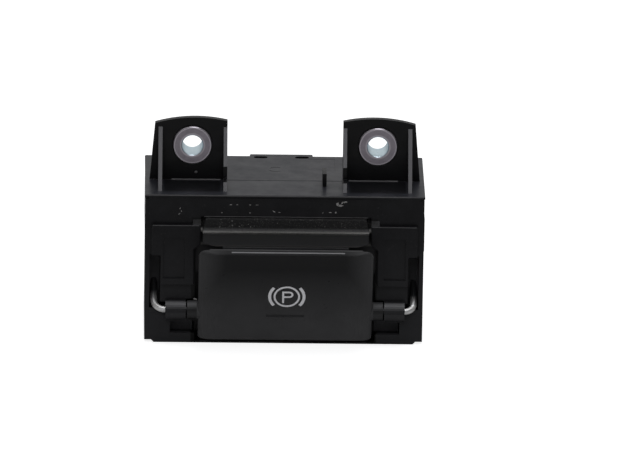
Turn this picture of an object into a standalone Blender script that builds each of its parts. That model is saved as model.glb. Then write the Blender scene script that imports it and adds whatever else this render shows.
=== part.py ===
"""Electric parking brake switch: a lever that is pushed or pulled, in a case with two screw ears.

Metres, +Z up, +X to the right, -Y towards the driver.
The origin is on the underside, in the middle of the case.
"""

from math import cos, pi, radians, sin

import bmesh
import bpy
from mathutils import Matrix, Vector

MM = 0.001

# Clearances
GAP = 0.3 * MM
SLIDE_GAP = 0.3 * MM
WIRE_PLAY = 0.08 * MM
BUSH_PLAY = 0.12 * MM
PIN_PLAY = 0.18 * MM
SLOT_PLAY = 0.15 * MM
LENS_PLAY = 0.08 * MM
BITE = 0.5 * MM
EDGE_ROUND = 0.2 * MM

# Case
CASE_WIDTH = 65.4 * MM
CASE_DEPTH = 29.9 * MM
COVER_TOP = 36.55 * MM
SIDE_WALL = 1.05 * MM
FRONT_WALL = 1.4 * MM
LEVER_X = 0.3 * MM
FLOOR = 1.3 * MM
SHOULDER_OUT = 0.1 * MM
SHOULDER_FOOT = 23.2 * MM
SHOULDER_TOP = 31.2 * MM
SHOULDER_SLOPE = 0.9 * MM
FOOT_INSET = 1.6 * MM
FOOT_STEP = 0.65 * MM
WINDOW_HALF = 21.2 * MM
WINDOW_NECK_HALF = 20.0 * MM
WINDOW_NECK_FOOT = 24.6 * MM
WINDOW_TOP = 31.25 * MM
WINDOW_FLOOR = 0.45 * MM
WINDOW_RELIEF = 5.0 * MM
POCKET_OUTER = 27.0 * MM
POCKET_FOOT = 2.4 * MM
POCKET_TOP = 5.4 * MM

# Side blocks of the case
BLOCK_PROUD = 1.2 * MM
BLOCK_OUTER = 31.2 * MM
BLOCK_TOP = 29.4 * MM
BLOCK_SHELF = 21.8 * MM
BLOCK_FOOT = 14.6 * MM
TONGUE_DEEP = 0.45 * MM
TONGUE_INNER = 23.4 * MM
TONGUE_FOOT = 16.2 * MM
TONGUE_TOP = 26.3 * MM
TONGUE_EDGE = 0.6 * MM
SIDE_SLOT_INNER = 29.1 * MM
SIDE_SLOT_TOP = 21.9 * MM
GUSSET_WIDTH = 1.9 * MM
GUSSET_TALL = 1.1 * MM
GUSSET_SET_BACK = 0.1 * MM

# Cover with its ears
LIP_THICK = 0.8 * MM
LIP_OUT = 0.15 * MM
LIP_ROUND = 0.25 * MM
PLUG_DEEP = 1.5 * MM
TOP_STEP_Y = 11.3 * MM
TOP_STEP_DEEP = 0.12 * MM
TAB_LEFT = -8.0 * MM
TAB_RIGHT = 6.9 * MM
TAB_OUT = 1.6 * MM
TAB_INSET = 0.05 * MM
TAB_SLOT_LONG = 3.3 * MM
TAB_SLOT_WIDE = 1.5 * MM
TAB_SLOT_INSET = 0.9 * MM
TAB_SLOT_AHEAD = 1.0 * MM
TOP_RIB_X = 9.3 * MM
TOP_RIB_WIDE = 0.95 * MM
TOP_RIB_TALL = 3.2 * MM
TOP_RIB_FRONT_Y = 6.9 * MM
TOP_RIB_LONG = 4.5 * MM
TOP_RECESS_LEFT = 5.8 * MM
TOP_RECESS_RIGHT = 12.0 * MM
TOP_RECESS_FRONT = 18.7 * MM
TOP_RECESS_BACK = 28.0 * MM
TOP_RECESS_DEEP = 0.06 * MM
EAR_INNER = 13.6 * MM
FLANGE_INSET = 2.0 * MM
EAR_FOOT_INSET = 0.9 * MM
EAR_LEAN = 1.2 * MM
EAR_SIDE_TALL = 14.2 * MM
EAR_TALL = 15.3 * MM
EAR_SLANT = 0.6 * MM
EAR_PLATE_Y = 11.5 * MM
EAR_PLATE = 1.5 * MM
EAR_FOOT_Y = 2.6 * MM
FLANGE_TALL = 13.0 * MM
INNER_FLANGE = 0.9 * MM
OUTER_FLANGE = 0.93 * MM
FLANGE_NOTCH_FOOT = 1.9 * MM
FLANGE_NOTCH_TOP = 5.0 * MM
FLANGE_NOTCH_BACK = 7.0 * MM
EAR_BOSS_RADIUS = 5.3 * MM
EAR_BOSS_LONG = 3.8 * MM
EAR_WEB = 1.2 * MM

# Bushings
BUSH_X = 21.8 * MM
BUSH_TALL = 8.7 * MM
BUSH_RADIUS = 4.6 * MM
BUSH_BORE = 2.42 * MM
BUSH_LONG = 6.5 * MM
BUSH_PROUD = 0.8 * MM
BUSH_CHAMFER = 0.2 * MM

# Paddle
PADDLE_LENGTH = 26.3 * MM
PADDLE_LEAN = radians(21.1)
PADDLE_FOOT_OUT = 1.0 * MM
PADDLE_FOOT_UP = 0.75 * MM
PADDLE_TOP_HALF = 20.5 * MM
PADDLE_FOOT_HALF = 20.45 * MM
PADDLE_SIDE_ROUND = 5.3 * MM
PADDLE_ROUND_DEEP = 1.5 * MM
PADDLE_TOP_ROUND = 0.25 * MM
PADDLE_FOOT_ROUND = 0.6 * MM
PADDLE_TOP_CORNER = 1.9 * MM
PADDLE_FOOT_CORNER = 0.4 * MM
PADDLE_SKIN = 1.4 * MM
PADDLE_RIM = 1.3 * MM
PADDLE_INNER_EDGE = 0.6 * MM
PADDLE_RETURN_FOOT = 3.6 * MM
PADDLE_RETURN_TOP = 1.7 * MM
LENS_ALONG = 7.85 * MM
LENS_LONG = 8.6 * MM
LENS_WIDE = 0.5 * MM
LENS_BASE_LONG = 10.4 * MM
LENS_BASE_WIDE = 1.9 * MM
LENS_BASE_THICK = 1.0 * MM

# Hinge
HINGE_OUT = 0.8 * MM
HINGE_UP = 8.4 * MM
BOSS_RADIUS = 2.2 * MM
BOSS_INNER = 19.0 * MM
BOSS_OUTER = 23.0 * MM
SLEEVE_RADIUS = 2.4 * MM
SLEEVE_INNER = 23.3 * MM
SLEEVE_OUTER = 28.1 * MM
BOSS_ROOM = 0.4 * MM
WIRE_RADIUS = 0.78 * MM
WIRE_TILT = radians(35)
WIRE_WALL_GAP = 0.32 * MM
WIRE_TAIL = 9.0 * MM
WIRE_START = 19.2 * MM

# Carrier behind the paddle
CARRIER_HALF = 18.0 * MM
CARRIER_FOOT = 2.2 * MM
CARRIER_TOP = 23.4 * MM
CARRIER_THICK = 1.2 * MM
CARRIER_WINDOW_HALF = 6.7 * MM
CARRIER_WINDOW_FOOT = 5.9 * MM
CARRIER_WINDOW_TOP = 18.7 * MM
CARRIER_RIB = 1.3 * MM
CARRIER_RIB_DEEP = 1.8 * MM
CARRIER_CORNER = 1.0 * MM
CARRIER_RIB_FOOT = 1.0 * MM
CARRIER_RIB_SLOPE = 4.0 * MM
CARRIER_RIB_HEAD = 1.5 * MM
ARM_HALF = 2.4 * MM
ARM_REACH = 14.0 * MM
ARM_RISE = 5.6 * MM
ARM_NOSE = 1.5 * MM
ARM_THICK = 2.0 * MM
ARM_KNEE = 5.5 * MM
ARM_KNEE_STEP = 0.5 * MM
ARM_ROOT_AHEAD = 0.6 * MM
ARM_ROOT_BACK = 1.0 * MM
ARM_ROOT_UNDER = 0.4 * MM
ARM_ROOT_OVER = 1.6 * MM
ARM_END_ROOM = 0.7 * MM
BRIDGE_DEEP = 1.4 * MM
BRIDGE_REACH = 2.0 * MM
BRIDGE_BELOW = 2.6 * MM
BRIDGE_ABOVE = 1.2 * MM

# Finger scoop
SCOOP_HALF = 19.5 * MM
SCOOP_FOOT = 16.8 * MM
SCOOP_FLANGE_HALF = 23.2 * MM
SCOOP_FLANGE_TOP = 33.0 * MM
SCOOP_FLANGE = 1.2 * MM
SCOOP_CORNER = 0.8 * MM
SCOOP_CORNER_TALL = 3.0 * MM
SCOOP_PROUD = 0.35 * MM
SCOOP_EDGE = 0.3 * MM
BEAD_Z = 28.0 * MM
BEAD_RADIUS = 0.6 * MM
PANEL_TOP_Y = 0.3 * MM
PANEL_FOOT_Y = -0.6 * MM
PANEL_LIP_Z = 24.3 * MM
PANEL_LIP_RADIUS = 0.4 * MM
PANEL_CORNER_WIDE = 4.4 * MM
PANEL_CORNER_TALL = 1.0 * MM
SHELF_BACK = 5.6 * MM
LEG_INNER = 18.4 * MM
LEG_OUTER = 21.4 * MM

# Slider, its guide, its springs and its magnet
GUIDE_FRONT = 10.2 * MM
GUIDE_DEEP = 8.3 * MM
GUIDE_INNER = 7.3 * MM
GUIDE_RAIL = 2.1 * MM
GUIDE_PLATE = 1.2 * MM
GUIDE_FOOT_HALF = 14.0 * MM
GROOVE_DEEP = 0.7 * MM
GROOVE_WIDE = 1.8 * MM
SLIDER_TALL = 8.0 * MM
SLIDER_DEEP = 6.8 * MM
SLIDER_INSET = 0.5 * MM
SLIDER_ROUND = 0.3 * MM
TONGUE_INSET = 1.0 * MM
PEG_RADIUS = 1.2 * MM
PEG_TALL = 1.5 * MM
SPRING_LONG = 7.2 * MM
SPRING_RADIUS = 2.1 * MM
SPRING_WIRE = 0.28 * MM
SPRING_TURNS = 4.5
MAGNET_HALF = 2.5 * MM
MAGNET_DEEP = 1.6 * MM
MAGNET_TALL = 4.0 * MM

# Circuit board and what it carries
BOARD_FRONT = 21.5 * MM
BOARD_THICK = 1.6 * MM
BOARD_INSET = 4.6 * MM
BOARD_FOOT = 4.0 * MM
BOARD_TOP = 31.5 * MM
BOARD_CORNER = 1.5 * MM
SCREW_INSET = 3.65 * MM
SCREW_Z = 12.0 * MM
SCREW_RADIUS = 1.0 * MM
SCREW_HEAD_RADIUS = 1.9 * MM
SCREW_HEAD_TALL = 1.3 * MM
SCREW_LONG = 5.0 * MM
SENSOR_HALF = 2.0 * MM
SENSOR_TALL = 3.0 * MM
SENSOR_DEEP = 1.2 * MM
SENSOR_SPACING = 9.0 * MM
SENSOR_ROUND = 0.15 * MM
LED_X = 14.0 * MM
LED_Z = 12.0 * MM
LED_WIDE = 3.2 * MM
LED_TALL = 2.8 * MM
LED_DEEP = 1.1 * MM
LED_DOME = 1.1 * MM
LED_DOME_TALL = 0.7 * MM

# Rear cover and connector
REAR_PLATE = 1.5 * MM
RIM_DEEP = 1.8 * MM
RIM_WALL = 1.2 * MM
POST_RADIUS = 2.3 * MM
SHROUD_FOOT = 17.0 * MM
SHROUD_TOP = 28.0 * MM
SHROUD_LONG = 9.8 * MM
SHROUD_WALL = 1.2 * MM
SHROUD_ROUND = 0.8 * MM
SOCKET_BACK = 1.0 * MM
LATCH_HALF = 2.0 * MM
LATCH_TALL = 1.2 * MM
LATCH_LONG = 3.0 * MM
LATCH_START = 4.0 * MM
KEY_WIDE = 1.0 * MM
KEY_TALL = 0.9 * MM
TERMINAL_COUNT = 6
TERMINAL_PITCH = 2.0 * MM
TERMINAL_WIDE = 0.64 * MM
TERMINAL_Z = 20.4 * MM
TERMINAL_INTO_SOCKET = 6.3 * MM
TERMINAL_PAST_BOARD = 0.7 * MM
TERMINAL_TIP = 0.14 * MM

# Places that follow from the sizes above
FRONT_Y = -CASE_DEPTH / 2
BACK_Y = CASE_DEPTH / 2
CASE_HALF = CASE_WIDTH / 2
LIP_FOOT = COVER_TOP - LIP_THICK
CASE_TOP = LIP_FOOT - GAP
REAR_PLATE_Y = BACK_Y - REAR_PLATE
CASE_BACK = REAR_PLATE_Y - GAP
CAVITY_HALF = CASE_HALF - SIDE_WALL
HINGE = Vector((LEVER_X, FRONT_Y - HINGE_OUT, HINGE_UP))
WIRE_TAIL_X = CAVITY_HALF - WIRE_WALL_GAP - WIRE_RADIUS
EAR_FOOT_OUTER = CASE_HALF - EAR_FOOT_INSET
EAR_TOP_OUTER = EAR_FOOT_OUTER - EAR_LEAN
FLANGE_OUTER = EAR_FOOT_OUTER - FLANGE_INSET
BUSH_Z = COVER_TOP + BUSH_TALL
EAR_PLATE_FRONT = FRONT_Y + EAR_PLATE_Y
EAR_TOP = COVER_TOP + EAR_TALL
ARM_TIP = Vector((0.0, HINGE.y + ARM_REACH, HINGE.z + ARM_RISE))
SLIDER_FOOT = ARM_TIP.z - SLIDER_TALL / 2
SLIDER_TOP = ARM_TIP.z + SLIDER_TALL / 2
GUIDE_PLATE_TOP = SLIDER_FOOT - SPRING_LONG
GUIDE_BRIDGE_FOOT = SLIDER_TOP + SPRING_LONG
GUIDE_FRONT_Y = FRONT_Y + GUIDE_FRONT
GUIDE_BACK_Y = GUIDE_FRONT_Y + GUIDE_DEEP
SLIDER_FRONT_Y = GUIDE_FRONT_Y + SLIDER_INSET
SLIDER_BACK_Y = SLIDER_FRONT_Y + SLIDER_DEEP
SPRING_Y = SLIDER_FRONT_Y + SLIDER_DEEP / 2
BOARD_HALF = CAVITY_HALF - BOARD_INSET
SCREW_X = BOARD_HALF - SCREW_INSET
BOARD_FRONT_Y = FRONT_Y + BOARD_FRONT
BOARD_BACK_Y = BOARD_FRONT_Y + BOARD_THICK
SOCKET_FLOOR_Y = BACK_Y + SOCKET_BACK
CONNECTOR_X = (TAB_LEFT + TAB_RIGHT) / 2
CARRIER_DEPTH = PADDLE_SKIN + GAP
LENS_BASE_DEPTH = PADDLE_SKIN + GAP

# The paddle's face: x across, y up along the face, z out of the face
FACE_UP = Vector((0.0, -sin(PADDLE_LEAN), cos(PADDLE_LEAN)))
FACE_OUT = Vector((0.0, -cos(PADDLE_LEAN), -sin(PADDLE_LEAN)))
FACE_TURN = Matrix(((1.0, 0.0, 0.0), (0.0, FACE_UP.y, FACE_OUT.y), (0.0, FACE_UP.z, FACE_OUT.z)))
FACE = Matrix.Translation((LEVER_X, FRONT_Y - PADDLE_FOOT_OUT, PADDLE_FOOT_UP)) @ FACE_TURN.to_4x4()

# Outlines drawn on a plane: its first axis, its second axis and the one that it is extruded along
PLANE_XY = Matrix.Identity(4)
PLANE_XZ = Matrix(((1, 0, 0, 0), (0, 0, -1, 0), (0, 1, 0, 0), (0, 0, 0, 1)))
PLANE_YZ = Matrix(((0, 0, 1, 0), (1, 0, 0, 0), (0, 1, 0, 0), (0, 0, 0, 1)))
ALONG_X = Matrix.Rotation(pi / 2, 4, "Y")
ALONG_Y = Matrix.Rotation(-pi / 2, 4, "X")


def clear_scene():
    for thing in list(bpy.data.objects):
        bpy.data.objects.remove(thing, do_unlink=True)
    for group in list(bpy.data.collections):
        bpy.data.collections.remove(group)


def new_collection(name, helper=False):
    group = bpy.data.collections.new(name)
    bpy.context.scene.collection.children.link(group)
    group.hide_render = helper
    return group


def new_material(name, color, roughness, metallic=0.0, transmission=0.0):
    made = bpy.data.materials.new(name)
    made.use_nodes = True
    shader = made.node_tree.nodes["Principled BSDF"]
    shader.inputs["Base Color"].default_value = (*color, 1.0)
    shader.inputs["Roughness"].default_value = roughness
    shader.inputs["Metallic"].default_value = metallic
    shader.inputs["Transmission Weight"].default_value = transmission
    return made


def put(name, mesh, place=None):
    made = bpy.data.objects.new(name, mesh)
    made.matrix_world = place or Matrix.Identity(4)
    PARTS.objects.link(made)
    return made


def from_bmesh(name, bm, place=None):
    bmesh.ops.recalc_face_normals(bm, faces=bm.faces)
    mesh = bpy.data.meshes.new(name)
    bm.to_mesh(mesh)
    bm.free()
    return put(name, mesh, place)


def box(name, x, y, z):
    """A box between two values on each axis."""
    low = Vector((x[0], y[0], z[0]))
    high = Vector((x[1], y[1], z[1]))
    bm = bmesh.new()
    bmesh.ops.create_cube(bm, size=1.0, matrix=Matrix.Diagonal((*(high - low), 1.0)))
    return from_bmesh(name, bm, Matrix.Translation((low + high) / 2))


def rod(name, radius, ends, centre, turn, sides=32, end_radius=None):
    """A cylinder or cone along one axis, between two values on that axis, round a centre."""
    bm = bmesh.new()
    bmesh.ops.create_cone(
        bm,
        cap_ends=True,
        segments=sides,
        radius1=radius,
        radius2=radius if end_radius is None else end_radius,
        depth=ends[1] - ends[0],
    )
    axis = turn.to_3x3() @ Vector((0.0, 0.0, 1.0))
    middle = Vector(centre) + axis * (ends[0] + ends[1]) / 2
    made = from_bmesh(name, bm, Matrix.Translation(middle) @ turn)
    made.data.shade_smooth()
    made.data.set_sharp_from_angle(angle=radians(40))
    return made


def plate(name, outline, ends, plane):
    """A flat outline, extruded between two values on the plane's third axis."""
    curve = bpy.data.curves.new(name, "CURVE")
    curve.dimensions = "2D"
    curve.fill_mode = "BOTH"
    curve.extrude = abs(ends[1] - ends[0]) / 2
    spline = curve.splines.new("POLY")
    spline.points.add(len(outline) - 1)
    for point, (a, b) in zip(spline.points, outline):
        point.co = (a, b, 0.0, 1.0)
    spline.use_cyclic_u = True
    drawn = bpy.data.objects.new(name, curve)
    bpy.context.scene.collection.objects.link(drawn)
    graph = bpy.context.evaluated_depsgraph_get()
    mesh = bpy.data.meshes.new_from_object(drawn.evaluated_get(graph))
    bpy.data.objects.remove(drawn)
    bm = bmesh.new()
    bm.from_mesh(mesh)
    bmesh.ops.remove_doubles(bm, verts=bm.verts, dist=0.00001 * MM)
    bmesh.ops.dissolve_limit(bm, angle_limit=radians(0.5), verts=bm.verts, edges=bm.edges)
    middle = Matrix.Translation((0.0, 0.0, (ends[0] + ends[1]) / 2))
    return from_bmesh(name, bm, plane @ middle)


def hull(name, points):
    bm = bmesh.new()
    for point in points:
        bm.verts.new(point)
    bmesh.ops.convex_hull(bm, input=bm.verts)
    return from_bmesh(name, bm)


def turned(name, profile, place, steps=40):
    """A profile of (radius, height) points, turned about the local Z axis."""
    mesh = bpy.data.meshes.new(name)
    count = len(profile)
    edges = [(i, (i + 1) % count) for i in range(count)]
    mesh.from_pydata([(r, 0.0, h) for r, h in profile], edges, [])
    made = put(name, mesh, place)
    screw = made.modifiers.new("Turn", "SCREW")
    screw.axis = "Z"
    screw.steps = steps
    screw.render_steps = steps
    screw.use_merge_vertices = True
    screw.merge_threshold = 0.00001
    screw.use_smooth_shade = True
    return made


def wire(name, points, radius):
    curve = bpy.data.curves.new(name, "CURVE")
    curve.dimensions = "3D"
    curve.bevel_depth = radius
    curve.bevel_resolution = 3
    curve.use_fill_caps = True
    spline = curve.splines.new("POLY")
    spline.points.add(len(points) - 1)
    for point, place in zip(spline.points, points):
        point.co = (*place, 1.0)
    spline.use_smooth = True
    made = bpy.data.objects.new(name, curve)
    PARTS.objects.link(made)
    return made


def rounded(thing, width, segments=2, angle=40.0):
    bevel = thing.modifiers.new("Edges", "BEVEL")
    bevel.width = width
    bevel.segments = segments
    bevel.limit_method = "ANGLE"
    bevel.angle_limit = radians(angle)
    return thing


def combine(thing, others, operation, word):
    """Joins or cuts one object with a group of helpers."""
    group = bpy.data.collections.new(f"{thing.name}_{word}")
    CUTTERS.children.link(group)
    for other in others:
        PARTS.objects.unlink(other)
        group.objects.link(other)
        other.hide_render = True
        other.display_type = "WIRE"
    change = thing.modifiers.new(word.title(), "BOOLEAN")
    change.operation = operation
    change.operand_type = "COLLECTION"
    change.collection = group
    change.solver = "EXACT"


def join(thing, others, word="joined"):
    combine(thing, others, "UNION", word)


def cut(thing, others, word="cut"):
    combine(thing, others, "DIFFERENCE", word)


def finish(thing, material):
    thing.data.materials.append(material)
    return thing


def ride(thing, pivot):
    thing.parent = pivot
    thing.matrix_parent_inverse = pivot.matrix_world.inverted()


def both_sides(points):
    """A whole outline from its right half, which is listed from the foot up."""
    return points + [(-a, b) for a, b in reversed(points)]


def arc(centre, radius, start, end, count):
    """Points round a centre, from one angle to another in degrees."""
    found = []
    for step in range(count + 1):
        angle = radians(start + (end - start) * step / count)
        found.append((centre[0] + radius * cos(angle), centre[1] + radius * sin(angle)))
    return found


def rounded_rectangle(low, high, radius, count=5):
    x0, y0 = low
    x1, y1 = high
    return (
        arc((x1 - radius, y0 + radius), radius, -90, 0, count)
        + arc((x1 - radius, y1 - radius), radius, 0, 90, count)
        + arc((x0 + radius, y1 - radius), radius, 90, 180, count)
        + arc((x0 + radius, y0 + radius), radius, 180, 270, count)
    )


def case_outline(top):
    """The case seen from the front: a stepped foot, straight walls and a shoulder that stands out."""
    half = CASE_HALF
    return both_sides(
        [
            (half - FOOT_INSET - FOOT_STEP, 0.0),
            (half - FOOT_INSET, FOOT_STEP),
            (half, FOOT_STEP),
            (half, SHOULDER_FOOT - SHOULDER_OUT),
            (half + SHOULDER_OUT, SHOULDER_FOOT),
            (half + SHOULDER_OUT, SHOULDER_TOP),
            (half, SHOULDER_TOP + SHOULDER_SLOPE),
            (half, top),
        ]
    )


def window_outline():
    outline = both_sides(
        [
            (WINDOW_HALF, WINDOW_FLOOR),
            (WINDOW_HALF, WINDOW_NECK_FOOT - (WINDOW_HALF - WINDOW_NECK_HALF)),
            (WINDOW_NECK_HALF, WINDOW_NECK_FOOT),
            (WINDOW_NECK_HALF, WINDOW_TOP),
        ]
    )
    return [(LEVER_X + a, b) for a, b in outline]


def block_outline(side):
    """The raised block beside the window, wide above the shelf and narrow below it."""
    slope = WINDOW_HALF - WINDOW_NECK_HALF
    outer = [
        (SIDE_SLOT_INNER, BLOCK_FOOT),
        (SIDE_SLOT_INNER, BLOCK_SHELF),
        (BLOCK_OUTER, BLOCK_SHELF),
        (BLOCK_OUTER, BLOCK_TOP),
    ]
    inner = [
        (WINDOW_NECK_HALF, BLOCK_TOP),
        (WINDOW_NECK_HALF, WINDOW_NECK_FOOT),
        (WINDOW_HALF + GAP, WINDOW_NECK_FOOT - slope),
        (WINDOW_HALF + GAP, BLOCK_FOOT),
    ]
    return [(side * a, b) for a, b in outer] + [(LEVER_X + side * a, b) for a, b in inner]


def make_case():
    case = plate("case", case_outline(CASE_TOP), (-CASE_BACK, -FRONT_Y), PLANE_XZ)
    added = []
    cuts = [
        box(
            "cavity",
            (-CAVITY_HALF, CAVITY_HALF),
            (FRONT_Y + FRONT_WALL, BACK_Y),
            (FLOOR, COVER_TOP),
        ),
        plate("window", window_outline(), (-FRONT_Y - FRONT_WALL - BITE, -FRONT_Y + BITE), PLANE_XZ),
        box(
            "window_relief",
            (LEVER_X - WINDOW_HALF, LEVER_X + WINDOW_HALF),
            (FRONT_Y - BITE, FRONT_Y + WINDOW_RELIEF),
            (WINDOW_FLOOR, FLOOR + BITE),
        ),
    ]
    for side in (-1, 1):
        added += case_side_pieces(side)
        cuts += case_side_cuts(side)
    join(case, added)
    cut(case, cuts)
    return finish(case, HOUSING)


def case_side_pieces(side):
    block_front = FRONT_Y - BLOCK_PROUD
    block = plate("block", block_outline(side), (-FRONT_Y - BITE, -block_front), PLANE_XZ)
    rounded(block, EDGE_ROUND)
    neck = LEVER_X + side * WINDOW_NECK_HALF
    gusset_x = (neck, neck + side * GUSSET_WIDTH)
    gusset = hull(
        "gusset",
        [
            (x, y, z)
            for x in gusset_x
            for y, z in (
                (FRONT_Y + BITE, BLOCK_TOP - BITE),
                (block_front + GUSSET_SET_BACK, BLOCK_TOP - BITE),
                (block_front + GUSSET_SET_BACK, BLOCK_TOP),
                (FRONT_Y, BLOCK_TOP + GUSSET_TALL),
                (FRONT_Y + BITE, BLOCK_TOP + GUSSET_TALL),
            )
        ],
    )
    sleeve_ends = sorted((side * SLEEVE_INNER, side * SLEEVE_OUTER))
    sleeve = rod("sleeve", SLEEVE_RADIUS, sleeve_ends, HINGE, ALONG_X)
    return [block, gusset, sleeve]


def case_side_cuts(side):
    def span(a, b):
        return tuple(sorted((side * a, side * b)))

    def lever_span(a, b):
        return tuple(LEVER_X + x for x in span(a, b))

    through = (FRONT_Y - 2 * BLOCK_PROUD, FRONT_Y + FRONT_WALL + BITE)
    tongue_floor = FRONT_Y - BLOCK_PROUD + TONGUE_DEEP
    wire_foot = HINGE.z - WIRE_RADIUS - GAP
    sleeve_end = LEVER_X + side * SLEEVE_OUTER
    wall = side * CAVITY_HALF
    return [
        box(
            "side_slot",
            span(SIDE_SLOT_INNER, CAVITY_HALF),
            through,
            (wire_foot, SIDE_SLOT_TOP),
        ),
        box(
            "wire_room",
            (min(sleeve_end, wall), max(sleeve_end, wall)),
            through,
            (wire_foot, HINGE.z + WIRE_RADIUS + 3 * GAP),
        ),
        box(
            "tongue_recess",
            span(TONGUE_INNER, SIDE_SLOT_INNER - TONGUE_EDGE),
            (FRONT_Y - 2 * BLOCK_PROUD, tongue_floor),
            (TONGUE_FOOT, TONGUE_TOP),
        ),
        box(
            "foot_pocket",
            lever_span(WINDOW_HALF - BITE, POCKET_OUTER),
            through,
            (POCKET_FOOT, POCKET_TOP),
        ),
        rod(
            "boss_room",
            BOSS_RADIUS + BOSS_ROOM,
            span(WINDOW_HALF - BITE, SLEEVE_INNER),
            HINGE,
            ALONG_X,
        ),
        rod(
            "sleeve_bore",
            WIRE_RADIUS + WIRE_PLAY,
            span(SLEEVE_INNER - BITE, SLEEVE_OUTER + BITE),
            HINGE,
            ALONG_X,
            sides=24,
        ),
    ]


def ear_arch(side):
    """The ear's back plate: a shallow arch on top, and an outer edge that leans in."""
    chord = (EAR_TOP_OUTER - EAR_INNER) / 2
    rise = EAR_TALL - EAR_SIDE_TALL
    radius = (chord * chord + rise * rise) / (2 * rise)
    spread = 90 - _degrees_of(chord, radius)
    middle = (EAR_TOP_OUTER + EAR_INNER) / 2
    top = arc((middle, EAR_TOP - radius), radius, spread, 180 - spread, 12)
    slant = EAR_SLANT / (2 * chord)
    top = [(a, b - slant * (a - middle)) for a, b in top]
    foot = LIP_FOOT + GAP
    points = [(EAR_INNER, foot), (EAR_FOOT_OUTER, foot), (EAR_FOOT_OUTER, COVER_TOP)] + top
    return [(side * a, b) for a, b in points]


def _degrees_of(opposite, hypotenuse):
    low, high = 0.0, 90.0
    for _ in range(40):
        middle = (low + high) / 2
        if sin(radians(middle)) * hypotenuse < opposite:
            low = middle
        else:
            high = middle
    return low


def ear_pieces(side):
    plate_back = EAR_PLATE_FRONT + EAR_PLATE
    foot = LIP_FOOT + GAP
    back = plate("ear_plate", ear_arch(side), (-plate_back, -EAR_PLATE_FRONT), PLANE_XZ)
    ends = sorted((side * EAR_INNER, side * (EAR_INNER + INNER_FLANGE)))
    inner = plate("inner_flange", flange_side(foot, True), ends, PLANE_YZ)
    ends = sorted((side * FLANGE_OUTER, side * (FLANGE_OUTER - OUTER_FLANGE)))
    outer = plate("outer_flange", flange_side(foot, False), ends, PLANE_YZ)
    centre = (side * BUSH_X, 0.0, BUSH_Z)
    boss_ends = (plate_back - BITE, EAR_PLATE_FRONT + EAR_BOSS_LONG)
    boss = rod("ear_boss", EAR_BOSS_RADIUS, boss_ends, centre, ALONG_Y, sides=40)
    web = box(
        "ear_web",
        (side * BUSH_X - EAR_WEB / 2, side * BUSH_X + EAR_WEB / 2),
        (plate_back - BITE, EAR_PLATE_FRONT + EAR_BOSS_LONG - BITE),
        (foot, BUSH_Z - EAR_BOSS_RADIUS + BITE),
    )
    return [back, inner, outer, boss, web]


def flange_side(foot, notched):
    """A flange from the side: its front edge leans back to the plate, and the inner one has a notch."""
    front = FRONT_Y + EAR_FOOT_Y
    lean = (EAR_PLATE_FRONT - front) / FLANGE_TALL
    outline = [
        (front, foot),
        (EAR_PLATE_FRONT + BITE, foot),
        (EAR_PLATE_FRONT + BITE, COVER_TOP + FLANGE_TALL),
        (EAR_PLATE_FRONT, COVER_TOP + FLANGE_TALL),
    ]
    if notched:
        high = FLANGE_NOTCH_TOP
        low = FLANGE_NOTCH_FOOT
        back = FRONT_Y + FLANGE_NOTCH_BACK
        outline += [
            (front + lean * high, COVER_TOP + high),
            (back, COVER_TOP + high),
            (back, COVER_TOP + low),
            (front + lean * low, COVER_TOP + low),
        ]
    return outline + [(front, COVER_TOP)]


def make_top_bracket():
    half = CASE_HALF + LIP_OUT
    cover = box("top_bracket", (-half, half), (FRONT_Y - LIP_OUT, BACK_Y), (LIP_FOOT, COVER_TOP))
    rounded(cover, LIP_ROUND)
    plug_half = CAVITY_HALF - SLIDE_GAP
    plug_top = LIP_FOOT + GAP
    plug_back = REAR_PLATE_Y - GAP - RIM_DEEP
    added = [
        box(
            "plug",
            (-plug_half, plug_half),
            (FRONT_Y + FRONT_WALL + SLIDE_GAP, plug_back),
            (LIP_FOOT - PLUG_DEEP, plug_top),
        ),
        rounded(
            box(
                "rear_tab",
                (TAB_LEFT, TAB_RIGHT),
                (BACK_Y - BITE, BACK_Y + TAB_OUT),
                (LIP_FOOT + TAB_INSET, COVER_TOP - TAB_INSET),
            ),
            LIP_ROUND,
        ),
        top_rib(),
    ]
    rib_front = FRONT_Y + TOP_STEP_Y
    cuts = [
        box(
            "top_step",
            (-EAR_INNER, EAR_INNER),
            (rib_front - TOP_STEP_DEEP, rib_front + TOP_STEP_DEEP),
            (COVER_TOP - TOP_STEP_DEEP, COVER_TOP + BITE),
        ),
        box(
            "top_recess",
            (TOP_RECESS_LEFT, TOP_RECESS_RIGHT),
            (FRONT_Y + TOP_RECESS_FRONT, FRONT_Y + TOP_RECESS_BACK),
            (COVER_TOP - TOP_RECESS_DEEP, COVER_TOP + BITE),
        ),
    ]
    slot_y = BACK_Y - TAB_SLOT_AHEAD
    for start in (TAB_LEFT + TAB_SLOT_INSET, TAB_RIGHT - TAB_SLOT_INSET - TAB_SLOT_LONG):
        low = (start, slot_y - TAB_SLOT_WIDE / 2)
        high = (start + TAB_SLOT_LONG, slot_y + TAB_SLOT_WIDE / 2)
        outline = rounded_rectangle(low, high, TAB_SLOT_WIDE / 2.001, 4)
        cuts.append(plate("tab_slot", outline, (LIP_FOOT - BITE, COVER_TOP + BITE), PLANE_XY))
    for side in (-1, 1):
        added += ear_pieces(side)
        bore_ends = (EAR_PLATE_FRONT - BITE, EAR_PLATE_FRONT + EAR_BOSS_LONG + BITE)
        centre = (side * BUSH_X, 0.0, BUSH_Z)
        cuts.append(rod("ear_bore", BUSH_RADIUS + BUSH_PLAY, bore_ends, centre, ALONG_Y, sides=40))
    join(cover, added)
    cut(cover, cuts)
    return finish(cover, BRACKET)


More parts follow.
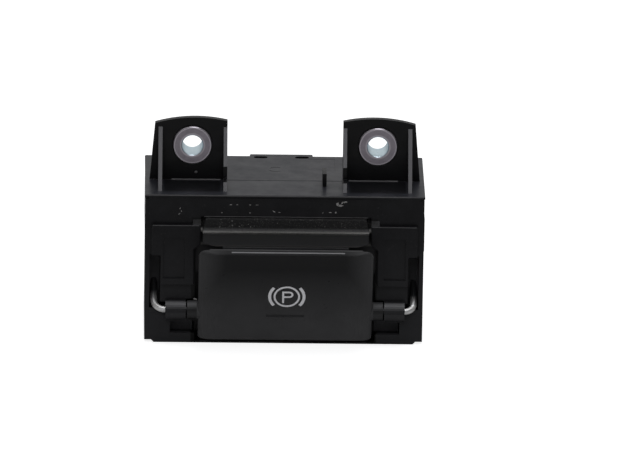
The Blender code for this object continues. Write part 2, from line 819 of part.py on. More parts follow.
def top_rib():
    front = FRONT_Y + TOP_RIB_FRONT_Y
    return box(
        "top_rib",
        (TOP_RIB_X - TOP_RIB_WIDE / 2, TOP_RIB_X + TOP_RIB_WIDE / 2),
        (front, front + TOP_RIB_LONG),
        (LIP_FOOT + GAP, COVER_TOP + TOP_RIB_TALL),
    )


def make_bushing(name, side):
    front = EAR_PLATE_FRONT - BUSH_PROUD
    place = Matrix.Translation((side * BUSH_X, front, BUSH_Z)) @ ALONG_Y
    edge = BUSH_CHAMFER
    profile = [
        (BUSH_BORE, BUSH_LONG - edge),
        (BUSH_BORE + edge, BUSH_LONG),
        (BUSH_RADIUS - edge, BUSH_LONG),
        (BUSH_RADIUS, BUSH_LONG - edge),
        (BUSH_RADIUS, edge),
        (BUSH_RADIUS - edge, 0.0),
        (BUSH_BORE + edge, 0.0),
        (BUSH_BORE, edge),
    ]
    return finish(turned(name, profile, place), STEEL)


def scoop_profile():
    """The trim's section: a dusty band, a bead, a panel that leans back and a rounded lip under it."""
    back = FRONT_WALL + GAP + SCOOP_FLANGE
    top = WINDOW_TOP - GAP
    outline = [(back, top), (0.0, top), (-SCOOP_PROUD, top - SCOOP_EDGE)]
    outline += arc((-SCOOP_PROUD, BEAD_Z), BEAD_RADIUS, 90, 270, 8)
    outline.append((PANEL_TOP_Y, BEAD_Z - BEAD_RADIUS))
    outline += arc((PANEL_FOOT_Y + PANEL_LIP_RADIUS, PANEL_LIP_Z), PANEL_LIP_RADIUS, 180, 270, 4)
    outline.append((back, PANEL_LIP_Z - PANEL_LIP_RADIUS))
    return [(FRONT_Y + a, b) for a, b in outline]


def scoop_wedge(side, inner, top, foot):
    """A cutter for a corner of the trim, from a point on its edge to a point on its side."""
    near = LEVER_X + side * inner
    far = LEVER_X + side * (SCOOP_HALF + BITE)
    return hull(
        "scoop_corner",
        [
            (x, y, z)
            for y in (FRONT_Y - 2 * BLOCK_PROUD, FRONT_Y + FRONT_WALL)
            for x, z in ((near, top), (far, top), (far, foot))
        ],
    )


def make_finger_scoop():
    ends = (LEVER_X - SCOOP_HALF, LEVER_X + SCOOP_HALF)
    scoop = plate("finger_scoop", scoop_profile(), ends, PLANE_YZ)
    flange_front = FRONT_Y + FRONT_WALL + GAP
    flange_back = flange_front + SCOOP_FLANGE
    wide = (LEVER_X - SCOOP_FLANGE_HALF, LEVER_X + SCOOP_FLANGE_HALF)
    shelf_half = SCOOP_FLANGE_HALF - GAP
    shelf_wide = (LEVER_X - shelf_half, LEVER_X + shelf_half)
    shelf_back = FRONT_Y + SHELF_BACK
    shelf = (SCOOP_FOOT, SCOOP_FOOT + SCOOP_FLANGE)
    added = [
        box("scoop_flange", wide, (flange_front, flange_back), (SCOOP_FOOT + BITE, SCOOP_FLANGE_TOP)),
        box("scoop_shelf", shelf_wide, (flange_front + GAP, shelf_back), shelf),
    ]
    corners = []
    slope = (SCOOP_CORNER + BITE) / SCOOP_CORNER
    lip = PANEL_LIP_Z - PANEL_LIP_RADIUS
    for side in (-1, 1):
        leg = sorted((LEVER_X + side * LEG_INNER, LEVER_X + side * LEG_OUTER))
        leg_depth = (shelf_back - SCOOP_FLANGE, shelf_back - GAP / 2)
        added.append(box("scoop_leg", leg, leg_depth, (FLOOR + GAP, SCOOP_FOOT + BITE)))
        top = WINDOW_TOP - GAP
        corners.append(scoop_wedge(side, SCOOP_HALF - SCOOP_CORNER, top + GAP, top - SCOOP_CORNER_TALL * slope))
        corners.append(scoop_wedge(side, SCOOP_HALF - PANEL_CORNER_WIDE, lip - GAP, lip + PANEL_CORNER_TALL))
    cut(scoop, corners)
    join(scoop, added)
    return finish(scoop, TRIM)


def paddle_loop(insets, depths):
    """A loop round the paddle, set in at its side, top and foot, with a depth at its foot and its top."""
    side = PADDLE_TOP_HALF - insets[0]
    top = PADDLE_LENGTH - insets[1]
    foot = insets[2]
    low = PADDLE_FOOT_CORNER
    high = PADDLE_TOP_CORNER
    flat = (
        arc((side - low, foot + low), low, -90, 0, 6)
        + arc((side - high, top - high), high, 0, 90, 6)
        + arc((high - side, top - high), high, 90, 180, 6)
        + arc((low - side, foot + low), low, 180, 270, 6)
    )
    narrow = (PADDLE_TOP_HALF - PADDLE_FOOT_HALF) / PADDLE_TOP_HALF
    found = []
    for across, along in flat:
        share = along / PADDLE_LENGTH
        depth = depths[0] + (depths[1] - depths[0]) * share
        found.append((across * (1 - narrow * (1 - share)), along, -depth))
    return found


def loft(name, loops, place):
    """A closed body through loops that have the same number of points."""
    bm = bmesh.new()
    rows = [[bm.verts.new(point) for point in loop] for loop in loops]
    bm.faces.new(rows[0])
    bm.faces.new(rows[-1])
    for inner, outer in zip(rows, rows[1:]):
        for i in range(len(inner)):
            after = (i + 1) % len(inner)
            bm.faces.new((inner[i], outer[i], outer[after], inner[after]))
    return from_bmesh(name, bm, place)


def paddle_outside():
    """A flat face that rolls over all round into a wall."""
    loops = []
    steps = 7
    for step in range(steps + 1):
        angle = pi / 2 * step / steps
        inset = 1 - sin(angle)
        deep = PADDLE_ROUND_DEEP * (1 - cos(angle))
        insets = (PADDLE_SIDE_ROUND * inset, PADDLE_TOP_ROUND * inset, PADDLE_FOOT_ROUND * inset)
        loops.append(paddle_loop(insets, (deep, deep)))
    loops.append(paddle_loop((0.0, 0.0, 0.0), (PADDLE_RETURN_FOOT, PADDLE_RETURN_TOP)))
    return loft("paddle_cap", loops, FACE)


def paddle_inside():
    wall = PADDLE_RIM
    wide = wall + PADDLE_INNER_EDGE
    start = PADDLE_SKIN
    edge = start + PADDLE_INNER_EDGE
    behind = PADDLE_RETURN_FOOT + BITE
    loops = [
        paddle_loop((wide, wide, wide), (start, start)),
        paddle_loop((wall, wall, wall), (edge, edge)),
        paddle_loop((wall, wall, wall), (behind, behind)),
    ]
    return loft("paddle_inside", loops, FACE)


def make_paddle_cap():
    cap = paddle_outside()
    cap.data.shade_smooth()
    cap.data.set_sharp_from_angle(angle=radians(35))
    bosses = []
    bores = []
    for side in (-1, 1):
        ends = sorted((side * BOSS_INNER, side * BOSS_OUTER))
        bosses.append(rod("paddle_boss", BOSS_RADIUS, ends, HINGE, ALONG_X))
        bore = sorted((side * (BOSS_INNER - BITE), side * (BOSS_OUTER + BITE)))
        bores.append(rod("paddle_bore", WIRE_RADIUS + WIRE_PLAY, bore, HINGE, ALONG_X, sides=24))
    lens_half = LENS_LONG / 2 + LENS_PLAY
    lens_side = LENS_WIDE / 2 + LENS_PLAY
    slot = box(
        "lens_slot",
        (-lens_half, lens_half),
        (LENS_ALONG - lens_side, LENS_ALONG + lens_side),
        (-PADDLE_SKIN - BITE, BITE),
    )
    slot.matrix_world = FACE @ slot.matrix_world
    cut(cap, [paddle_inside()], "inside")
    join(cap, bosses)
    cut(cap, bores + [slot], "bores")
    return finish(cap, SATIN)


def make_indicator_lens():
    half = LENS_LONG / 2
    side = LENS_WIDE / 2
    along = (LENS_ALONG - side, LENS_ALONG + side)
    lens = box("indicator_lens", (-half, half), along, (-LENS_BASE_DEPTH - BITE, 0.0))
    lens.matrix_world = FACE @ lens.matrix_world
    base = box(
        "lens_base",
        (-LENS_BASE_LONG / 2, LENS_BASE_LONG / 2),
        (LENS_ALONG - LENS_BASE_WIDE / 2, LENS_ALONG + LENS_BASE_WIDE / 2),
        (-LENS_BASE_DEPTH - LENS_BASE_THICK, -LENS_BASE_DEPTH),
    )
    base.matrix_world = FACE @ base.matrix_world
    join(lens, [base])
    return finish(lens, CLEAR)


def make_light_guide():
    half = CARRIER_WINDOW_HALF - GAP
    foot = LENS_ALONG + LENS_BASE_WIDE / 2 + GAP
    guide = box(
        "light_guide",
        (-half, half),
        (foot, CARRIER_WINDOW_TOP - GAP),
        (-CARRIER_DEPTH - CARRIER_THICK, -CARRIER_DEPTH),
    )
    guide.matrix_world = FACE @ guide.matrix_world
    rounded(guide, EDGE_ROUND, 1)
    return finish(guide, CLEAR)


def on_face(across, along, deep):
    return FACE @ Vector((across, along, -deep))


def make_paddle_carrier():
    deep = CARRIER_DEPTH
    outline = rounded_rectangle((-CARRIER_HALF, CARRIER_FOOT), (CARRIER_HALF, CARRIER_TOP), CARRIER_CORNER)
    carrier = plate("paddle_carrier", outline, (-deep - CARRIER_THICK, -deep), FACE)
    added = []
    for side in (-1, 1):
        edges = sorted((side * (CARRIER_HALF - CARRIER_RIB), side * (CARRIER_HALF - GAP)))
        rib = hull(
            "carrier_rib",
            [
                on_face(across, along, depth)
                for across in edges
                for along, depth in (
                    (CARRIER_FOOT + CARRIER_RIB_FOOT, deep + BITE),
                    (CARRIER_FOOT + CARRIER_RIB_FOOT, deep + CARRIER_THICK + CARRIER_RIB_DEEP),
                    (CARRIER_WINDOW_TOP - CARRIER_RIB_SLOPE, deep + CARRIER_THICK + CARRIER_RIB_DEEP),
                    (CARRIER_TOP - CARRIER_RIB_HEAD, deep + BITE),
                )
            ],
        )
        added.append(rib)
    added.append(arm_piece())
    window = box(
        "carrier_window",
        (-CARRIER_WINDOW_HALF, CARRIER_WINDOW_HALF),
        (CARRIER_WINDOW_FOOT, CARRIER_WINDOW_TOP),
        (-deep - CARRIER_THICK - GAP, BITE),
    )
    window.matrix_world = FACE @ window.matrix_world
    cut(carrier, [window])
    join(carrier, added)
    return finish(carrier, FRAME)


def arm_piece():
    """The arm behind the carrier: a bridge across its window, and a neck with a round nose."""
    back = CARRIER_DEPTH + CARRIER_THICK
    root = on_face(0.0, CARRIER_WINDOW_FOOT, back + BRIDGE_DEEP)
    tip_y, tip_z = ARM_TIP.y, ARM_TIP.z
    half = ARM_THICK / 2
    knee_y = tip_y - ARM_KNEE
    neck = [
        (root.y - ARM_ROOT_AHEAD, root.z - half),
        (root.y + ARM_ROOT_BACK, root.z - half - ARM_ROOT_UNDER),
        (knee_y + ARM_KNEE_STEP, tip_z - half),
        (tip_y, tip_z - half),
        (tip_y, tip_z + half),
        (knee_y, tip_z + half),
        (root.y - ARM_ROOT_AHEAD, root.z + half + ARM_ROOT_OVER),
    ]
    arm = plate("arm_neck", neck, (-ARM_HALF, ARM_HALF), PLANE_YZ)
    nose = rod("arm_nose", ARM_NOSE, (-ARM_HALF, ARM_HALF), ARM_TIP, ALONG_X, sides=24)
    reach = CARRIER_WINDOW_HALF + BRIDGE_REACH
    along_ends = (CARRIER_WINDOW_FOOT - BRIDGE_BELOW, CARRIER_WINDOW_FOOT + BRIDGE_ABOVE)
    bridge = hull(
        "arm_bridge",
        [
            on_face(across, along, depth)
            for across in (-reach, reach)
            for along in along_ends
            for depth in (back + GAP, back + BRIDGE_DEEP)
        ],
    )
    feet = []
    for side in (-1, 1):
        feet.append(
            hull(
                "bridge_foot",
                [
                    on_face(side * across, along, depth)
                    for across in (CARRIER_WINDOW_HALF + GAP, reach)
                    for along in along_ends
                    for depth in (back - BITE, back + BITE)
                ],
            )
        )
    join(arm, [nose, bridge] + feet)
    return arm


def make_hinge_wire(name, side):
    """A wire through the lever's boss and the case's sleeve, bent back and up into the side slot."""
    start = LEVER_X + side * WIRE_START
    corner = LEVER_X + side * SLEEVE_OUTER
    bend = abs(side * WIRE_TAIL_X - corner)
    line = [(start, 0.0), (corner, 0.0)]
    for across, back in arc((0.0, bend), bend, -90, 0, 8)[1:]:
        line.append((corner + side * across, back))
    line.append((side * WIRE_TAIL_X, WIRE_TAIL))
    points = [(x, HINGE.y + back * cos(WIRE_TILT), HINGE.z + back * sin(WIRE_TILT)) for x, back in line]
    return finish(wire(name, points, WIRE_RADIUS), WIRE_STEEL)


def make_slider_guide():
    outer = GUIDE_INNER + GUIDE_RAIL
    outline = [
        (-outer, GUIDE_PLATE_TOP - GUIDE_PLATE),
        (outer, GUIDE_PLATE_TOP - GUIDE_PLATE),
        (outer, GUIDE_BRIDGE_FOOT + GUIDE_PLATE),
        (-outer, GUIDE_BRIDGE_FOOT + GUIDE_PLATE),
    ]
    guide = plate("slider_guide", outline, (-GUIDE_BACK_Y, -GUIDE_FRONT_Y), PLANE_XZ)
    groove_y = (SPRING_Y - GROOVE_WIDE / 2, SPRING_Y + GROOVE_WIDE / 2)
    groove_half = GUIDE_INNER + GROOVE_DEEP
    inside = (GUIDE_PLATE_TOP, GUIDE_BRIDGE_FOOT)
    cuts = [
        box("guide_window", (-GUIDE_INNER, GUIDE_INNER), (GUIDE_FRONT_Y - BITE, GUIDE_BACK_Y + BITE), inside),
        box("guide_groove", (-groove_half, groove_half), groove_y, inside),
    ]
    foot = box(
        "guide_foot",
        (-GUIDE_FOOT_HALF, GUIDE_FOOT_HALF),
        (GUIDE_FRONT_Y + BITE, GUIDE_BACK_Y - BITE),
        (FLOOR + GAP, GUIDE_PLATE_TOP - GAP),
    )
    centre = (0.0, SPRING_Y, 0.0)
    lower = (GUIDE_PLATE_TOP - BITE, GUIDE_PLATE_TOP + PEG_TALL)
    upper = (GUIDE_BRIDGE_FOOT - PEG_TALL, GUIDE_BRIDGE_FOOT + BITE)
    pegs = [
        rod("lower_peg", PEG_RADIUS, lower, centre, PLANE_XY, sides=16),
        rod("upper_peg", PEG_RADIUS, upper, centre, PLANE_XY, sides=16),
    ]
    cut(guide, cuts)
    join(guide, [foot] + pegs)
    return finish(guide, FRAME)


def make_slider():
    half = GUIDE_INNER - SLIDE_GAP
    slider = box("slider", (-half, half), (SLIDER_FRONT_Y, SLIDER_BACK_Y), (SLIDER_FOOT, SLIDER_TOP))
    rounded(slider, SLIDER_ROUND)
    tongue_half = GUIDE_INNER + GROOVE_DEEP - SLIDE_GAP
    tongue_y = GROOVE_WIDE / 2 - SLIDE_GAP
    tongue = box(
        "slider_tongue",
        (-tongue_half, tongue_half),
        (SPRING_Y - tongue_y, SPRING_Y + tongue_y),
        (SLIDER_FOOT + TONGUE_INSET, SLIDER_TOP - TONGUE_INSET),
    )
    centre = (0.0, SPRING_Y, 0.0)
    lower = (SLIDER_FOOT - PEG_TALL, SLIDER_FOOT + BITE)
    upper = (SLIDER_TOP - BITE, SLIDER_TOP + PEG_TALL)
    pegs = [
        rod("slider_lower_peg", PEG_RADIUS, lower, centre, PLANE_XY, sides=16),
        rod("slider_upper_peg", PEG_RADIUS, upper, centre, PLANE_XY, sides=16),
    ]
    slot_half = ARM_NOSE + SLOT_PLAY
    arm_room = ARM_HALF + 2 * SLIDE_GAP
    slot_end = ARM_TIP.y + ARM_NOSE + ARM_END_ROOM
    pocket_half = MAGNET_HALF + GAP
    pocket_tall = MAGNET_TALL / 2 + GAP
    cuts = [
        box(
            "arm_slot",
            (-arm_room, arm_room),
            (SLIDER_FRONT_Y - BITE, slot_end),
            (ARM_TIP.z - slot_half, ARM_TIP.z + slot_half),
        ),
        box(
            "magnet_pocket",
            (-pocket_half, pocket_half),
            (SLIDER_BACK_Y - MAGNET_DEEP, SLIDER_BACK_Y + BITE),
            (ARM_TIP.z - pocket_tall, ARM_TIP.z + pocket_tall),
        ),
    ]
    join(slider, [tongue] + pegs)
    cut(slider, cuts)
    return finish(slider, SLIDER_PLASTIC)


def make_magnet():
    magnet = box(
        "magnet",
        (-MAGNET_HALF, MAGNET_HALF),
        (SLIDER_BACK_Y - MAGNET_DEEP + GAP, SLIDER_BACK_Y + GAP),
        (ARM_TIP.z - MAGNET_TALL / 2, ARM_TIP.z + MAGNET_TALL / 2),
    )
    rounded(magnet, EDGE_ROUND)
    return finish(magnet, MAGNET)


def make_spring(name, low, high):
    start = low + GAP + SPRING_WIRE
    rise = high - GAP - SPRING_WIRE - start
    count = round(SPRING_TURNS * 16)
    points = []
    for step in range(count + 1):
        share = step / count
        angle = 2 * pi * SPRING_TURNS * share
        points.append(
            (
                SPRING_RADIUS * cos(angle),
                SPRING_Y + SPRING_RADIUS * sin(angle),
                start + rise * share,
            )
        )
    spring = wire(name, points, SPRING_WIRE)
    spring.data.bevel_resolution = 2
    return finish(spring, WIRE_STEEL)


def terminal_places():
    first = CONNECTOR_X - TERMINAL_PITCH * (TERMINAL_COUNT - 1) / 2
    return [first + TERMINAL_PITCH * step for step in range(TERMINAL_COUNT)]


def make_circuit_board():
    low = (-BOARD_HALF, BOARD_FOOT)
    high = (BOARD_HALF, BOARD_TOP)
    outline = rounded_rectangle(low, high, BOARD_CORNER, 3)
    board = plate("circuit_board", outline, (-BOARD_BACK_Y, -BOARD_FRONT_Y), PLANE_XZ)
    through = (BOARD_FRONT_Y - BITE, BOARD_BACK_Y + BITE)
    cuts = []
    for side in (-1, 1):
        centre = (side * SCREW_X, 0.0, SCREW_Z)
        cuts.append(rod("screw_hole", SCREW_RADIUS + PIN_PLAY, through, centre, ALONG_Y, sides=20))
    hole = TERMINAL_WIDE / 2 + PIN_PLAY
    for x in terminal_places():
        cuts.append(box("pin_hole", (x - hole, x + hole), through, (TERMINAL_Z - hole, TERMINAL_Z + hole)))
    cut(board, cuts)
    return finish(board, BOARD)


def make_board_screw(name, side):
    head_y = BOARD_FRONT_Y - GAP - SCREW_HEAD_TALL
    place = Matrix.Translation((side * SCREW_X, head_y, SCREW_Z)) @ ALONG_Y
    end = SCREW_HEAD_TALL + SCREW_LONG
    profile = [
        (0.0, end),
        (SCREW_RADIUS * 0.5, end),
        (SCREW_RADIUS, end - SCREW_RADIUS),
        (SCREW_RADIUS, SCREW_HEAD_TALL),
        (SCREW_HEAD_RADIUS, SCREW_HEAD_TALL),
        (SCREW_HEAD_RADIUS, SCREW_HEAD_TALL * 0.35),
        (SCREW_HEAD_RADIUS * 0.7, 0.0),
        (0.0, 0.0),
    ]
    return finish(turned(name, profile, place, steps=20), STEEL)


def make_sensor(name, step):
    middle = ARM_TIP.z + step * SENSOR_SPACING / 2
    sensor = box(
        name,
        (-SENSOR_HALF, SENSOR_HALF),
        (BOARD_FRONT_Y - GAP - SENSOR_DEEP, BOARD_FRONT_Y - GAP),
        (middle - SENSOR_TALL / 2, middle + SENSOR_TALL / 2),
    )
    rounded(sensor, SENSOR_ROUND, 1)
    return finish(sensor, CHIP)


def make_led(name, side):
    x = side * LED_X
    front = BOARD_FRONT_Y - GAP - LED_DEEP
    led = box(
        name,
        (x - LED_WIDE / 2, x + LED_WIDE / 2),
        (front, BOARD_FRONT_Y - GAP),
        (LED_Z - LED_TALL / 2, LED_Z + LED_TALL / 2),
    )
    dome_ends = (front - LED_DOME_TALL, front + BITE)
    dome = rod("led_dome", LED_DOME, dome_ends, (x, 0.0, LED_Z), ALONG_Y, sides=20)
    join(led, [dome])
    return finish(led, CLEAR)


def make_rear_cover():
    cover = plate("rear_cover", case_outline(CASE_TOP), (-BACK_Y, -REAR_PLATE_Y), PLANE_XZ)
    rim_half = CAVITY_HALF - SLIDE_GAP
    rim_foot = FLOOR + SLIDE_GAP
    rim_top = LIP_FOOT - PLUG_DEEP - GAP
    shroud_end = BACK_Y + SHROUD_LONG
    shroud_outline = rounded_rectangle((TAB_LEFT, SHROUD_FOOT), (TAB_RIGHT, SHROUD_TOP), SHROUD_ROUND, 3)
    socket_outline = rounded_rectangle(
        (TAB_LEFT + SHROUD_WALL, SHROUD_FOOT + SHROUD_WALL),
        (TAB_RIGHT - SHROUD_WALL, SHROUD_TOP - SHROUD_WALL),
        SHROUD_ROUND / 2,
        2,
    )
    rim = box("rim", (-rim_half, rim_half), (REAR_PLATE_Y - RIM_DEEP, REAR_PLATE_Y + BITE), (rim_foot, rim_top))
    rim_room = box(
        "rim_room",
        (-rim_half + RIM_WALL, rim_half - RIM_WALL),
        (REAR_PLATE_Y - RIM_DEEP - BITE, REAR_PLATE_Y),
        (rim_foot + RIM_WALL, rim_top - RIM_WALL),
    )
    shroud = plate("shroud", shroud_outline, (-shroud_end, -BACK_Y + BITE), PLANE_XZ)
    socket = plate("socket", socket_outline, (-shroud_end - BITE, -SOCKET_FLOOR_Y), PLANE_XZ)
    hole = TERMINAL_WIDE / 2 + PIN_PLAY
    holes = []
    for x in terminal_places():
        span = (REAR_PLATE_Y - BITE, SOCKET_FLOOR_Y + BITE)
        tall = (TERMINAL_Z - hole, TERMINAL_Z + hole)
        holes.append(box("terminal_hole", (x - hole, x + hole), span, tall))
    join(cover, [rim], "rim")
    cut(cover, [rim_room], "rim_room")
    posts = []
    for side in (-1, 1):
        centre = (side * SCREW_X, 0.0, SCREW_Z)
        post = (BOARD_BACK_Y + GAP, REAR_PLATE_Y + BITE)
        posts.append(rod("board_post", POST_RADIUS, post, centre, ALONG_Y, 28))
        bore = (BOARD_BACK_Y, BOARD_BACK_Y + SCREW_LONG)
        holes.append(rod("post_bore", SCREW_RADIUS + PIN_PLAY, bore, centre, ALONG_Y, sides=20))
    join(cover, [shroud, latch_piece()] + key_pieces() + posts, "outside")
    cut(cover, [socket] + holes, "sockets")
    return finish(cover, HOUSING)


def latch_piece():
    start = BACK_Y + LATCH_START
    return hull(
        "latch_ramp",
        [
            (x, y, z)
            for x in (CONNECTOR_X - LATCH_HALF, CONNECTOR_X + LATCH_HALF)
            for y, z in (
                (start, SHROUD_TOP - BITE),
                (start, SHROUD_TOP + LATCH_TALL),
                (start + LATCH_LONG, SHROUD_TOP + GAP),
                (start + LATCH_LONG, SHROUD_TOP - BITE),
            )
        ],
    )


def key_pieces():
    """Ribs along the shroud that keep a wrong plug out."""
    keys = []
    for x in (TAB_LEFT + 2 * SHROUD_WALL, TAB_RIGHT - 2 * SHROUD_WALL - KEY_WIDE):
        keys.append(
            box(
                "key_rib",
                (x, x + KEY_WIDE),
                (BACK_Y - BITE, BACK_Y + SHROUD_LONG),
                (SHROUD_FOOT - KEY_TALL, SHROUD_FOOT + BITE),
            )
        )
    return keys


def make_terminal(name, x):
    half = TERMINAL_WIDE / 2
    pin = box(
        name,
        (x - half, x + half),
        (BOARD_FRONT_Y - TERMINAL_PAST_BOARD, SOCKET_FLOOR_Y + TERMINAL_INTO_SOCKET),
        (TERMINAL_Z - half, TERMINAL_Z + half),
    )
    rounded(pin, TERMINAL_TIP, 1)
    return finish(pin, TERMINAL)


def new_pivot(name, place):
    pivot = bpy.data.objects.new(name, None)
    pivot.location = place
    PARTS.objects.link(pivot)
    bpy.context.view_layer.update()
    return pivot


clear_scene()
PARTS = new_collection("parking_brake_switch")
CUTTERS = new_collection("cutters", helper=True)

HOUSING = new_material("housing", (0.020, 0.020, 0.022), 0.55)
BRACKET = new_material("bracket", (0.022, 0.022, 0.024), 0.45)
TRIM = new_material("trim", (0.018, 0.018, 0.020), 0.50)
SATIN = new_material("paddle_black", (0.016, 0.016, 0.017), 0.35)
FRAME = new_material("inner_plastic", (0.040, 0.040, 0.042), 0.60)
SLIDER_PLASTIC = new_material("slider_plastic", (0.70, 0.68, 0.62), 0.50)
CLEAR = new_material("clear_plastic", (0.85, 0.86, 0.88), 0.15, transmission=0.8)
STEEL = new_material("plated_steel", (0.62, 0.58, 0.57), 0.35, metallic=1.0)
WIRE_STEEL = new_material("wire_steel", (0.70, 0.70, 0.68), 0.22, metallic=1.0)
BOARD = new_material("board_green", (0.03, 0.16, 0.07), 0.45)
CHIP = new_material("chip_black", (0.03, 0.03, 0.03), 0.50)
MAGNET = new_material("magnet_grey", (0.20, 0.20, 0.21), 0.40, metallic=0.8)
TERMINAL = new_material("terminal_tin", (0.75, 0.73, 0.68), 0.30, metallic=1.0)

make_case()
make_top_bracket()
make_bushing("bushing_left", -1)
make_bushing("bushing_right", 1)
make_finger_scoop()
make_hinge_wire("hinge_wire_left", -1)
make_hinge_wire("hinge_wire_right", 1)
make_slider_guide()
make_circuit_board()
make_board_screw("board_screw_left", -1)
make_board_screw("board_screw_right", 1)
make_sensor("sensor_lower", -1)
make_sensor("sensor_upper", 1)
make_led("backlight_left", -1)
make_led("backlight_right", 1)
make_rear_cover()
for number, place in enumerate(terminal_places(), start=1):
    make_terminal(f"terminal_{number}", place)
make_spring("return_spring_lower", GUIDE_PLATE_TOP, SLIDER_FOOT)
make_spring("return_spring_upper", SLIDER_TOP, GUIDE_BRIDGE_FOOT)

paddle_pivot = new_pivot("paddle_pivot", HINGE)
for piece in (make_paddle_cap(), make_indicator_lens(), make_light_guide(), make_paddle_carrier()):
    ride(piece, paddle_pivot)

slider_pivot = new_pivot("slider_pivot", ARM_TIP)
for piece in (make_slider(), make_magnet()):
    ride(piece, slider_pivot)
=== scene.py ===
from math import cos, pi, radians, sin

import bmesh
import bpy
from mathutils import Matrix, Vector


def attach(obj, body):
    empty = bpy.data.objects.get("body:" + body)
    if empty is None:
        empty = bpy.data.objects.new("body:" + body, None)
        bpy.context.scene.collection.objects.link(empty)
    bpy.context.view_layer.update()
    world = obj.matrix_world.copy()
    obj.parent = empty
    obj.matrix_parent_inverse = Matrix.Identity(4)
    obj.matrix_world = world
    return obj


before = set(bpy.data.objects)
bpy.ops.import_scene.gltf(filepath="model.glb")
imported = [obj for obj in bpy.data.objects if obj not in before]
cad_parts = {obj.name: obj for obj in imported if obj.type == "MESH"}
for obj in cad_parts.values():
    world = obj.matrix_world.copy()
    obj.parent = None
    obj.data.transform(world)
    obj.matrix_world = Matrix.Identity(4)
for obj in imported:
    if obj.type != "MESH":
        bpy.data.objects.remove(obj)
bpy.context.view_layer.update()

MM = 0.001

# The photograph's camera
IMAGE_WIDTH = 632
IMAGE_HEIGHT = 474
PIXELS_PER_MM = 4.25
CAMERA_ELEVATION = radians(18.5)
CAMERA_AZIMUTH = radians(-1.2)
CAMERA_ROLL = radians(0.95)
CAMERA_DISTANCE = 2.8
CAMERA_NEAR = 0.05
CAMERA_FAR = 20.0
SENSOR_MM = 36.0
FOOT_PIXEL = (283.0, 343.2)

# The light and the floor
WALL_LIGHT = 0.56
ROOM_LIGHT = 0.12
WALL_START = -0.3
WALL_FULL = 0.5
FLOOR_HALF = 3.0
FLOOR_DROP = 0.02 * MM
FLOOR_COLOR = 0.6
FLOOR_ROUGH = 0.9
FLOOR_GLOSS = 0.1
FLOOR_GLOW = 0.8
LAMP_POWER = 2.4
LAMP_COLOR = (0.965, 0.97, 1.0)
LAMP_AIM = (0.0, 0.0, 0.02)
FRONT_LAMP = ((-0.15, -0.75, 0.70), (0.7, 0.4))
TOP_LAMP = ((0.10, 0.0, 0.90), (0.6, 0.4))

# Places from the CAD: X runs across, Y from front to back, Z up
COVER_TOP = 36.55 * MM
FRONT_Y = -14.95 * MM
LEVER_X = 0.3 * MM
FACE_LEAN = radians(21.1)
FACE_FOOT = Vector((LEVER_X, FRONT_Y - 1.0 * MM, 0.75 * MM))
PADDLE_TOP = 26.3 * MM
PLATE_Y = FRONT_Y + 11.5 * MM
BUSH_X = 21.8 * MM
BUSH_Z = COVER_TOP + 8.7 * MM
BORE_RADIUS = 2.42 * MM

# The sign on the lever's face, from the face's foot
SIGN_ACROSS = 0.32 * MM
SIGN_ALONG = 13.77 * MM
SIGN_THICK = 0.03 * MM
SIGN_STROKE = 0.45 * MM
SIGN_BRACKET_STROKE = 0.70 * MM
SIGN_BRACKET_HALF = 41
SIGN_RING = 2.88 * MM
SIGN_BRACKET = 4.03 * MM
LETTER_STEM = -0.86 * MM
LETTER_ARC = 0.60 * MM
LETTER_TOP = 1.32 * MM
LETTER_FOOT = -1.90 * MM
LETTER_BOWL = 0.71 * MM

# Small rounds on moulded edges
EDGE_ROUND = 0.15 * MM
EDGE_ANGLE = 38.0
WELD_REACH = 0.000001
FLAT_ANGLE = 1.0

# Small boxes in millimetres: two corners, each across, back from the front wall, and up
WINDOW_LINE = ((-18.9, -0.03, 31.2), (19.5, 0.27, 31.33))
STEP_LINES = (((-31.0, -1.23, 29.26), (-20.2, -0.93, 29.36)), ((20.4, -1.23, 29.26), (31.0, -0.93, 29.36)))
SLOT_WALL = ((29.2, 6.0, 7.5), (31.7, 6.3, 22.0))
POCKET_WALL = ((21.4, 2.8, 2.2), (27.1, 3.1, 5.6))
SLOT_LEDGE = ((28.3, 0.06, 5.9), (32.0, 0.5, 8.5))
TRIM_LIP = ((-14.5, -0.85, 23.45), (15.1, -0.45, 24.05))
TRIM_LIP_ROUND = 0.12 * MM
COVER_SKIRT = ((-32.0, 0.02, 35.4), (32.0, 0.6, 35.8))

# Boxes on the lever: across, up from the lever's top edge, and out of the face
LEVER_LINE = ((-12.8, -0.1, -1.10), (13.7, 0.04, -0.72))
LEVER_LEDGE = ((-18.0, -1.2, -2.3), (18.0, -0.08, -1.0))

# Marks on the ears
EAR_FILLET_ENDS = (15.1 * MM, 26.6 * MM)
EAR_FILLET_DEEP = 0.45 * MM
EAR_FILLET_TALL = 0.22 * MM
NUB_PLACE = (-20.9 * MM, PLATE_Y, 38.4 * MM)
NUB_SIZE = (0.42 * MM, 0.22 * MM, 0.34 * MM)
SEAT_RADIUS = 4.75 * MM
SEAT_WIDE = 0.5 * MM
SEAT_BACK = 0.9 * MM
RIM_RADIUS = 4.78 * MM
RIM_THICK = 0.16 * MM
RIM_Y = PLATE_Y - 0.05 * MM
RIM_ARC = (-118, -62)
RIM_STEPS = 17
CORNERS = [2 * pi * step / 6 for step in range(6)]

# The moulding gate's ring and pad on the cover
GATE_MIDDLE = (-2.0 * MM, FRONT_Y + 19.9 * MM)
GATE_RADIUS = 1.6 * MM
GATE_ARC = (50, 310)
GATE_STROKE = 0.22 * MM
GATE_TALL = 0.09 * MM
PAD_PLACE = (-0.1 * MM, FRONT_Y + 15.2 * MM, 0.0)
PAD_SIZE = (0.95 * MM, 0.7 * MM, 0.05 * MM)

